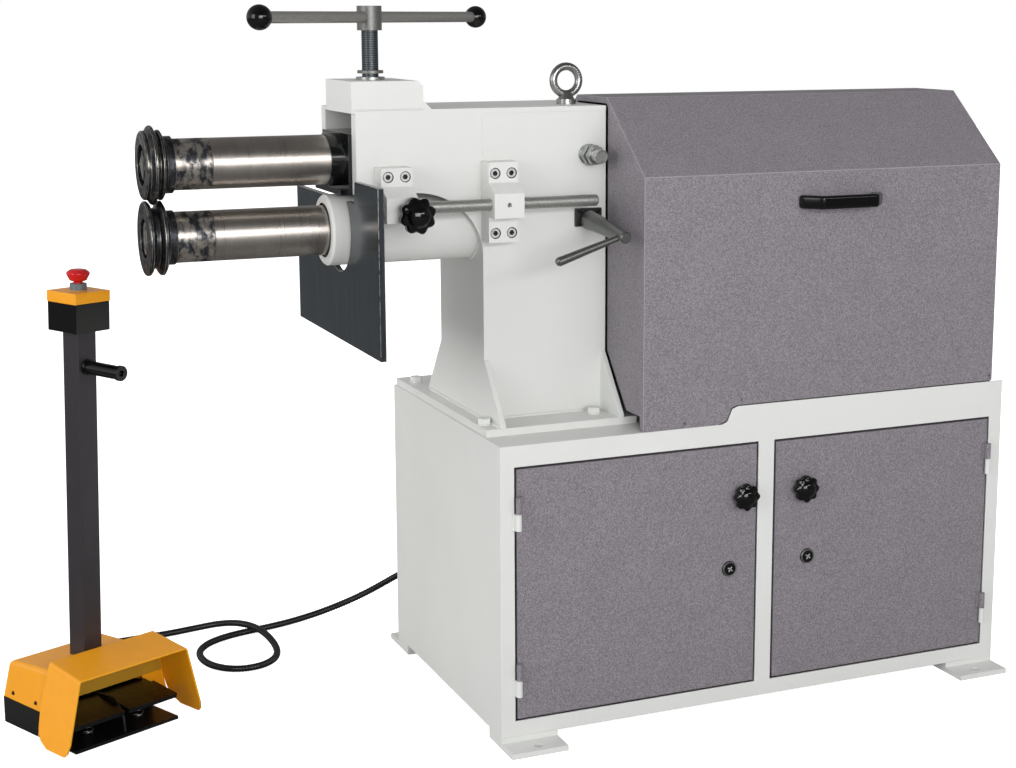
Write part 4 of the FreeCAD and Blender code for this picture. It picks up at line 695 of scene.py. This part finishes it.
class MACHINE_OT_studio(Operator):
    """Camera, pale floor, soft lamps and room light"""
    bl_idname = "machine.studio"
    bl_label = "Studio"

    def execute(self, context):
        scene = context.scene
        lens = bpy.data.cameras.new("camera")
        lens.lens = 63.32
        lens.sensor_width = 36.0
        lens.shift_x = -0.0611
        lens.shift_y = -0.0531
        camera = bpy.data.objects.new("camera", lens)
        camera.location = (-1.575, -3.003, 1.2521)
        camera.rotation_euler = (math.radians(79.99), 0.0, math.radians(-23.65))
        scene.collection.objects.link(camera)
        scene.camera = camera

        machine_middle = Vector((-0.4, -0.1, 0.8))
        for name, place, size, power in (
                ("front_lamp", (-0.9, -4.6, 1.55), (2.6, 1.6), studio().front_power),
                ("left_lamp", (-4.4, -1.6, 1.7), (2.0, 2.0), studio().left_power),
                ("strip_lamp", (0.7, -3.6, 1.95), (3.2, 0.26), studio().strip_power)):
            lamp = bpy.data.lights.new(name, "AREA")
            lamp.shape = "RECTANGLE"
            lamp.size, lamp.size_y = size
            lamp.energy = power
            holder = bpy.data.objects.new(name, lamp)
            holder.location = place
            aim = machine_middle - Vector(place)
            holder.rotation_euler = aim.to_track_quat("-Z", "Y").to_euler()
            scene.collection.objects.link(holder)

        scene.view_settings.view_transform = "Standard"
        self.make_room(scene)
        self.make_floor()
        return {"FINISHED"}

    def make_room(self, scene):
        """White to the camera; to the surfaces pale walls behind, a dim ceiling and a dim camera side."""
        world = bpy.data.worlds.new("room")
        world.use_nodes = True
        tree = world.node_tree
        tree.nodes.clear()
        rays = add(tree, "ShaderNodeLightPath")
        way = add(tree, "ShaderNodeSeparateXYZ",
                  inputs={"Vector": add(tree, "ShaderNodeTexCoord").outputs["Generated"]})
        height = add(tree, "ShaderNodeValToRGB", inputs={"Fac": way.outputs["Z"]},
                     stops=((0.0, grey(0.85)), (0.22, grey(0.8)), (0.5, grey(0.38)), (1.0, grey(0.32))))
        side = add(tree, "ShaderNodeMapRange", inputs={"Value": way.outputs["Y"], "From Min": -0.9,
                                                       "From Max": 0.3, "To Min": 0.3, "To Max": 1.0})
        # the wall at the roller end is the brightest
        end = add(tree, "ShaderNodeMapRange", inputs={"Value": way.outputs["X"], "From Min": -1.0,
                                                      "From Max": 0.3, "To Min": 2.0, "To Max": 1.0})
        walls_tone = add(tree, "ShaderNodeMath", {"operation": "MULTIPLY"}, {0: side.outputs["Result"],
                                                                             1: end.outputs["Result"]})
        light = add(tree, "ShaderNodeVectorMath", {"operation": "SCALE"},
                    {0: height.outputs["Color"], "Scale": walls_tone.outputs[0]})
        white = add(tree, "ShaderNodeBackground", inputs={"Color": grey(1.0), "Strength": 1.0})
        # glossy surfaces see a dimmer room, so that black plastic stays black
        full, dimmed = studio().room, studio().room * 0.28
        power = add(tree, "ShaderNodeMapRange", inputs={"Value": rays.outputs["Is Glossy Ray"],
                                                        "To Min": full, "To Max": dimmed})
        walls = add(tree, "ShaderNodeBackground", inputs={"Color": light.outputs[0],
                                                          "Strength": power.outputs["Result"]})
        both = add(tree, "ShaderNodeMixShader", inputs={0: rays.outputs["Is Camera Ray"], 1: walls.outputs[0],
                                                        2: white.outputs[0]})
        add(tree, "ShaderNodeOutputWorld", inputs={"Surface": both.outputs[0]})
        scene.world = world

    def make_floor(self):
        """Pale paper that the camera sees as white with a soft shadow."""
        mesh = bpy.data.meshes.new("floor")
        half = 14.0
        mesh.from_pydata([(-half, -half, 0), (half, -half, 0), (half, half, 0), (-half, half, 0)], [],
                         [(0, 1, 2, 3)])
        material, tree = new_material("floor_paper")
        if tree:
            rays = add(tree, "ShaderNodeLightPath")
            tone = add(tree, "ShaderNodeMapRange", inputs={"Value": rays.outputs["Is Glossy Ray"],
                                                           "To Min": 0.6, "To Max": 0.2})
            paper = add(tree, "ShaderNodeBsdfDiffuse", inputs={"Color": tone.outputs["Result"]})
            glow = add(tree, "ShaderNodeEmission", inputs={"Color": grey(1.0), "Strength": 0.88})
            bright = add(tree, "ShaderNodeBsdfDiffuse", inputs={"Color": grey(0.85)})
            sum_up = add(tree, "ShaderNodeAddShader", inputs={0: glow.outputs[0], 1: bright.outputs[0]})
            both = add(tree, "ShaderNodeMixShader", inputs={0: rays.outputs["Is Camera Ray"],
                                                            1: paper.outputs[0], 2: sum_up.outputs[0]})
            add(tree, "ShaderNodeOutputMaterial", inputs={"Surface": both.outputs[0]})
        floor = new_piece("floor", mesh, [material])


class MACHINE_OT_welded_frame(Operator):
    """Cabinet, feet, base plate, column, arm and lower tube in white enamel"""
    bl_idname = "machine.welded_frame"
    bl_label = "Welded frame"

    def execute(self, context):
        enamel = sprayed_enamel()
        for node in ("cabinet_body", "anchor_feet", "frame_base_plate", "frame_column", "frame_arm",
                     "base_bolts", "door_hinge_pins"):
            dress(node, [enamel], edges().plate_edge)
        dress("lower_tube", [enamel, blackened_steel()], edges().plate_edge, choose=self.in_tube)
        weld = edges().weld
        # the seam goes round the tube's foot on the column
        seam = 0.062
        circle = []
        for i in range(49):
            a = math.tau * i / 48
            circle.append((-0.4821, SHAFT_Y + seam * math.cos(a), LOWER_SHAFT_Z + seam * math.sin(a)))
        weld_bead("tube_weld", "frame_column", circle, weld)
        weld_bead("left_foot_weld", "frame_base_plate",
                  [(-0.482, -0.205 + 0.036 * i, 0.5505) for i in range(11)], weld)
        weld_bead("front_foot_weld", "frame_base_plate",
                  [(-0.472 + 0.021 * i, -0.1315, 0.5505) for i in range(11)], weld)
        weld_bead("head_weld", "frame_arm", [(-0.710 + 0.0135 * i, -0.1312, 1.0955) for i in range(10)],
                  weld * 0.5)
        return {"FINISHED"}

    def in_tube(self, centre, normal):
        """Blackened steel on the wall inside the tube."""
        from_axis = math.hypot(centre.y - SHAFT_Y, centre.z - LOWER_SHAFT_Z)
        return int(abs(normal.x) < 0.2 and from_axis < 0.05)


class MACHINE_OT_doors(Operator):
    """Doors, knobs and locks"""
    bl_idname = "machine.doors"
    bl_label = "Doors"

    def execute(self, context):
        for node in ("left_door", "right_door"):
            dress(node, [hammer_enamel()], edges().sheet_edge)
        for node, place in (("left_door_knob", (-0.045, 0.403)), ("right_door_knob", (0.078, 0.405))):
            stem_only(node, plane_y=-0.2852)
            star_knob(node + "_head", node, place, front=-0.3105, back=-0.2845, radius=0.025)
        cylinder, door_face = 0.0135, -0.284
        key_turn = (FORWARD[0], math.radians(35), 0.0)
        for node, (x, z) in (("left_door_lock", (-0.072, 0.270)), ("right_door_lock", (0.090, 0.274))):
            dress(node, [zinc_plate(), black_plastic()], radius=0.0006,
                  choose=lambda centre, normal, x=x, z=z: int(
                      math.hypot(centre.x - x, centre.z - z) > cylinder and centre.y < door_face))
            # a dark seal and the bright cylinder with its key slot
            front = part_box(node)[0].y
            screw_heads(node + "_seal", node, [(x, front, z)], key_turn, black_plastic(), radius=0.0112,
                        height=0.0005)
            screw_heads(node + "_cylinder", node, [(x, front - 0.0003, z)], key_turn, pale_zinc(),
                        radius=0.0098, height=0.0013)
        return {"FINISHED"}


class MACHINE_OT_cover(Operator):
    """Sheet cover over the drive with its bridge handle"""
    bl_idname = "machine.cover"
    bl_label = "Cover"

    def execute(self, context):
        # painted highlight: the cover's rounded folds take a paler grey than the hammer paint
        fold = brushed_paint("hammer_fold_highlight", shade(colours().hammer, 1.5), roughness=0.4)
        dress("gear_cover", [hammer_enamel(), fold], edges().sheet_edge, edge_material=1)
        dress("cover_handle", [black_plastic()], radius=0.005, segments=4)
        screw_heads("cover_screws", "gear_cover",
                    [(-0.167, -0.285, 0.547), (-0.053, -0.285, 0.580), (0.480, -0.285, 0.580)], FORWARD,
                    zinc_plate())
        return {"FINISHED"}


class MACHINE_OT_shafts(Operator):
    """Shafts with rollers, sleeves, nuts and gears"""
    bl_idname = "machine.shafts"
    bl_label = "Shafts"

    def execute(self, context):
        for node in ("lower_shaft", "upper_shaft"):
            dress(node, [turned_steel()], edges().machined_edge)
        for node in ("lower_roller", "upper_roller"):
            dress(node, [blackened_steel(), rubbed_edge()], edges().machined_edge, edge_material=1,
                  angle=24.0)
        sleeve_steel = blackened_steel("rubbed_sleeve_steel", rubbed=0.58, bare="#B3ABA2", blotch_mm=24.0,
                                       twist=0.2)
        for node in ("lower_spacer", "upper_spacer", "lower_roller_nut", "upper_roller_nut"):
            dress(node, [sleeve_steel, rubbed_edge()], edges().machined_edge, edge_material=1)
        gear_steel = cast_metal("gear_steel", linear("#8E8B86"), metallic=1.0, roughness=0.35)
        for node in ("lower_gear", "upper_gear", "shaft_coupling"):
            dress(node, [gear_steel], edges().machined_edge)
        return {"FINISHED"}


class MACHINE_OT_bearings(Operator):
    """Bearing block, trunnion housing, bushes, studs and nuts"""
    bl_idname = "machine.bearings"
    bl_label = "Bearings"

    def execute(self, context):
        block = brushed_paint("block_paint", linear("#0E0F11"), roughness=0.15)
        dress("upper_bearing_block", [block, rubbed_edge()], edges().machined_edge, edge_material=1)
        dress("upper_trunnion_housing", [housing_paint()], edges().machined_edge)
        bronze = cast_metal("bronze_bush", linear("#A67C46"), metallic=1.0, roughness=0.3)
        dress("lower_shaft_bearings", [bronze], edges().machined_edge)
        dress("pivot_studs", [zinc_plate()], edges().machined_edge)
        return {"FINISHED"}


class MACHINE_OT_pressure_screw(Operator):
    """Pressure screw, its nut and pad, the tee bar with its balls and the lifting eye"""
    bl_idname = "machine.pressure_screw"
    bl_label = "Pressure screw"

    def execute(self, context):
        dress("pressure_pad", [zinc_plate()], edges().machined_edge)
        dress("spindle_nut", [zinc_plate()], edges().machined_edge)
        hub = cast_metal("hub_steel", linear("#8C8C89"), metallic=0.8, roughness=0.45)
        bar = cast_metal("bar_steel", linear("#A8A6A2"), metallic=0.6, roughness=0.45)
        dress("pressure_screw", [hub, oiled_screw_steel()], edges().machined_edge, choose=self.on_thread)
        dress("tee_bar", [bar, black_plastic()], radius=0.0004, choose=self.on_ball)
        dress("eye_bolt", [zinc_plate()], edges().machined_edge)
        return {"FINISHED"}

    def on_thread(self, centre, normal):
        """On the threaded stem below the hub."""
        from_axis = math.hypot(centre.x - SCREW_X, centre.y - SHAFT_Y)
        return int(centre.z < 1.2259 and from_axis < 0.0145)

    def on_ball(self, centre, normal):
        """Off the bar's bare length between its two balls."""
        way = Vector((math.cos(TEE_BAR_TURN), math.sin(TEE_BAR_TURN), 0.0))
        arm = Vector(centre) - Vector((SCREW_X, SHAFT_Y, TEE_BAR_Z))
        run = arm.dot(way)
        on_bar = -0.277 < run < 0.324 and (arm - way * run).length < 0.0098
        return int(not on_bar)


class MACHINE_OT_material_stop(Operator):
    """Stop plate, rod, brackets, cap screws and clamp knob"""
    bl_idname = "machine.material_stop"
    bl_label = "Material stop"

    def execute(self, context):
        dress("stop_plate", [burnished_plate(), rubbed_edge()], radius=0.0008, edge_material=1)
        dress("stop_rod", [drawn_steel()], edges().machined_edge)
        enamel = sprayed_enamel()
        for node in ("left_rod_bracket", "middle_rod_bracket"):
            # painted shade: the walls of the screw counterbores take the black tread paint
            dress(node, [enamel, tread_paint()], edges().plate_edge, choose=self.painted_shade_in_bore)
        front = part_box("bracket_screws")[0].y
        # painted shade: the faces inside the cap screws' sockets take the black tread paint
        dress("bracket_screws", [pale_zinc(), tread_paint()], radius=0.0003,
              choose=lambda centre, normal: int(from_cap_screw(centre) < 0.0056
                                                and front + 0.0012 < centre.y < -0.155))
        stem_only("clamp_knob", plane_y=-0.1972)
        star_knob("clamp_knob_head", "clamp_knob", (-0.6295, 0.926), front=-0.237, back=-0.197, radius=0.0315,
                  turn=16.0)
        return {"FINISHED"}

    def painted_shade_in_bore(self, centre, normal):
        """Painted shade: black paint inside the counterbores of the cap screws."""
        return int(from_cap_screw(centre) < 0.0099 and centre.y > -0.1679)


class MACHINE_OT_hand_lever(Operator):
    """Lever flange, horn and handle"""
    bl_idname = "machine.hand_lever"
    bl_label = "Hand lever"

    def execute(self, context):
        casting = cast_metal("lever_casting", colours().lever, metallic=0.85, roughness=0.36)
        dress("lever_arm", [casting], radius=0.001)
        dress("lever_bracket", [tread_paint()], radius=0.0008)
        screw_heads("lever_screws", "lever_bracket", [(-0.3015, -0.1392, 0.9095), (-0.2670, -0.1392, 0.9095)],
                    FORWARD, tread_paint(), radius=0.0038, height=0.0016)
        return {"FINISHED"}


class MACHINE_OT_drive(Operator):
    """Reducer, motor, pedestal and control panel under the covers"""
    bl_idname = "machine.drive"
    bl_label = "Drive"

    def execute(self, context):
        for node in ("gear_reducer", "drive_motor"):
            dress(node, [housing_paint()], radius=0.002)
        dress("reducer_pedestal", [sprayed_enamel()], edges().plate_edge)
        board = cast_metal("galvanised_board", linear("#9EA3A3"), metallic=0.6, roughness=0.5)
        dress("control_panel", [board], radius=0.001)
        return {"FINISHED"}


class MACHINE_OT_pedal_station(Operator):
    """Pedal base, yellow hood, two pedals and their springs"""
    bl_idname = "machine.pedal_station"
    bl_label = "Pedal station"

    def execute(self, context):
        dress("pedal_base", [tread_paint()], radius=0.0008)
        # painted shade: a darker yellow under the roof and on the wall behind the pedals
        inside = brushed_paint("hood_painted_shade", colours().hood_painted_shade, roughness=0.5, cloud_mm=25.0)
        # painted highlight: the hood's rounded edges take a paler yellow
        edge = brushed_paint("hood_edge_highlight", shade(colours().hood, 1.5), roughness=0.3)
        dress("pedal_hood", [hood_enamel(), inside, edge], radius=0.0009, choose=self.hood_shade_side,
              edge_material=2)
        # small sheets that close the gap between the base and each spread cheek
        left = ((-0.0155, 0.012), (-0.001, 0.012), (-0.001, 0.063), (-0.0040, 0.063))
        right = ((0.214, 0.012), (0.2575, 0.012), (0.2460, 0.063), (0.203, 0.063), (0.203, 0.054),
                 (0.2095, 0.054), (0.2095, 0.0495), (0.214, 0.0495))
        sheet_faces = (0.0912, 0.0934)
        for name, corners in (("left_apron", left), ("right_apron", right)):
            rings = [[on_floor(u, v, z) for u, z in corners] for v in sheet_faces]
            piece = new_piece(name, rings_mesh(name, rings), [hood_enamel()])
            round_edges(piece, radius=0.0005, segments=2)
            shade_smooth(piece)
            join_frame(piece, "pedal_hood", replaced=False)
        screw_heads("hood_screws", "pedal_hood", [on_floor(0.0023, v, 0.060) for v in (0.124, 0.196)],
                    (0.0, -math.pi / 2, STATION_TURN), tread_paint(), radius=0.0042, height=0.0018)
        for node in ("left_pedal", "right_pedal"):
            dress(node, [wrinkle_paint()], radius=0.0012)
        for node in ("left_pedal_spring", "right_pedal_spring"):
            dress(node, [zinc_plate()], radius=0.0)
        return {"FINISHED"}

    def hood_shade_side(self, centre, normal):
        """Painted shade: a darker, duller yellow under the roof and on the wall behind the pedals."""
        v = station(centre.x - STATION_FOOT[0], centre.y - STATION_FOOT[1])[1]
        return int(-0.0065 < v < 0.0945 and (normal.z < -0.5 or station(normal.x, normal.y)[1] < -0.5))


class MACHINE_OT_stalk(Operator):
    """Stalk, grip and emergency stop"""
    bl_idname = "machine.stalk"
    bl_label = "Stalk"

    def execute(self, context):
        enamel = brushed_paint("stalk_enamel", colours().stalk, roughness=0.42)
        dress("pedal_stalk", [enamel], radius=0.0015)
        dress("stalk_grip", [black_plastic()], radius=0.001)
        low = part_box("estop_box")[0].z
        # heights at which the lid and the collar start
        lid, collar = low + 0.0515, low + 0.0725
        dress("estop_box", [moulded_plastic("stop_yellow", colours().stop_yellow, roughness=0.3),
                            black_plastic(),
                            moulded_plastic("stop_collar", linear("#66727A"), roughness=0.4)], radius=0.002,
              choose=lambda centre, normal: 1 if centre.z < lid else 2 if centre.z > collar else 0)
        red = moulded_plastic("stop_red", colours().stop_red, roughness=0.25)
        dress("estop_button", [red], radius=0.0045, segments=5)
        return {"FINISHED"}


class MACHINE_OT_conduit(Operator):
    """Corrugated conduit on the floor and its glands"""
    bl_idname = "machine.conduit"
    bl_label = "Conduit"

    def execute(self, context):
        material = moulded_plastic("conduit_plastic", colours().conduit, roughness=0.13)
        path = cord_line(CONDUIT)
        piece = new_piece("conduit", polyline("conduit", path), [material])
        ribbed_tube(piece, material, 0.5 * CONDUIT_THICKNESS, edges().conduit_depth, edges().conduit_pitch)
        piece.data.polygons.foreach_set("use_smooth", [True] * len(piece.data.polygons))
        join_frame(piece, "pedal_conduit")
        dress("conduit_glands", [black_plastic()], radius=0.0008)
        return {"FINISHED"}


class MACHINE_PT_panel(Panel):
    """Colours, sizes and the steps of the beading machine"""
    bl_idname = "MACHINE_PT_panel"
    bl_label = "Beading machine"
    bl_space_type = "VIEW_3D"
    bl_region_type = "UI"
    bl_category = "Beading machine"

    def draw(self, context):
        scene = context.scene
        for title, group in (("Colours", scene.machine_colours), ("Edges", scene.machine_edges),
                             ("Studio", scene.machine_studio)):
            box = self.layout.box()
            box.label(text=title)
            for name in group.bl_rna.properties.keys():
                if name not in ("rna_type", "name"):
                    box.prop(group, name)
        for step in STEPS:
            self.layout.operator(step.bl_idname)


STEPS = (MACHINE_OT_studio, MACHINE_OT_conduit, MACHINE_OT_welded_frame, MACHINE_OT_doors, MACHINE_OT_cover,
         MACHINE_OT_shafts, MACHINE_OT_bearings, MACHINE_OT_pressure_screw, MACHINE_OT_material_stop,
         MACHINE_OT_hand_lever, MACHINE_OT_drive, MACHINE_OT_pedal_station, MACHINE_OT_stalk)
CLASSES = (FinishColours, EdgeSizes, StudioSettings, *STEPS, MACHINE_PT_panel)


def register():
    for cls in CLASSES:
        bpy.utils.register_class(cls)
    bpy.types.Scene.machine_colours = PointerProperty(type=FinishColours)
    bpy.types.Scene.machine_edges = PointerProperty(type=EdgeSizes)
    bpy.types.Scene.machine_studio = PointerProperty(type=StudioSettings)


def unregister():
    del bpy.types.Scene.machine_studio
    del bpy.types.Scene.machine_edges
    del bpy.types.Scene.machine_colours
    for cls in reversed(CLASSES):
        bpy.utils.unregister_class(cls)


def main():
    """Make every piece in order."""
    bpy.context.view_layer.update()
    register()
    for step in STEPS:
        group, name = step.bl_idname.split(".")
        getattr(getattr(bpy.ops, group), name)()


if __name__ == "__main__":
    main()
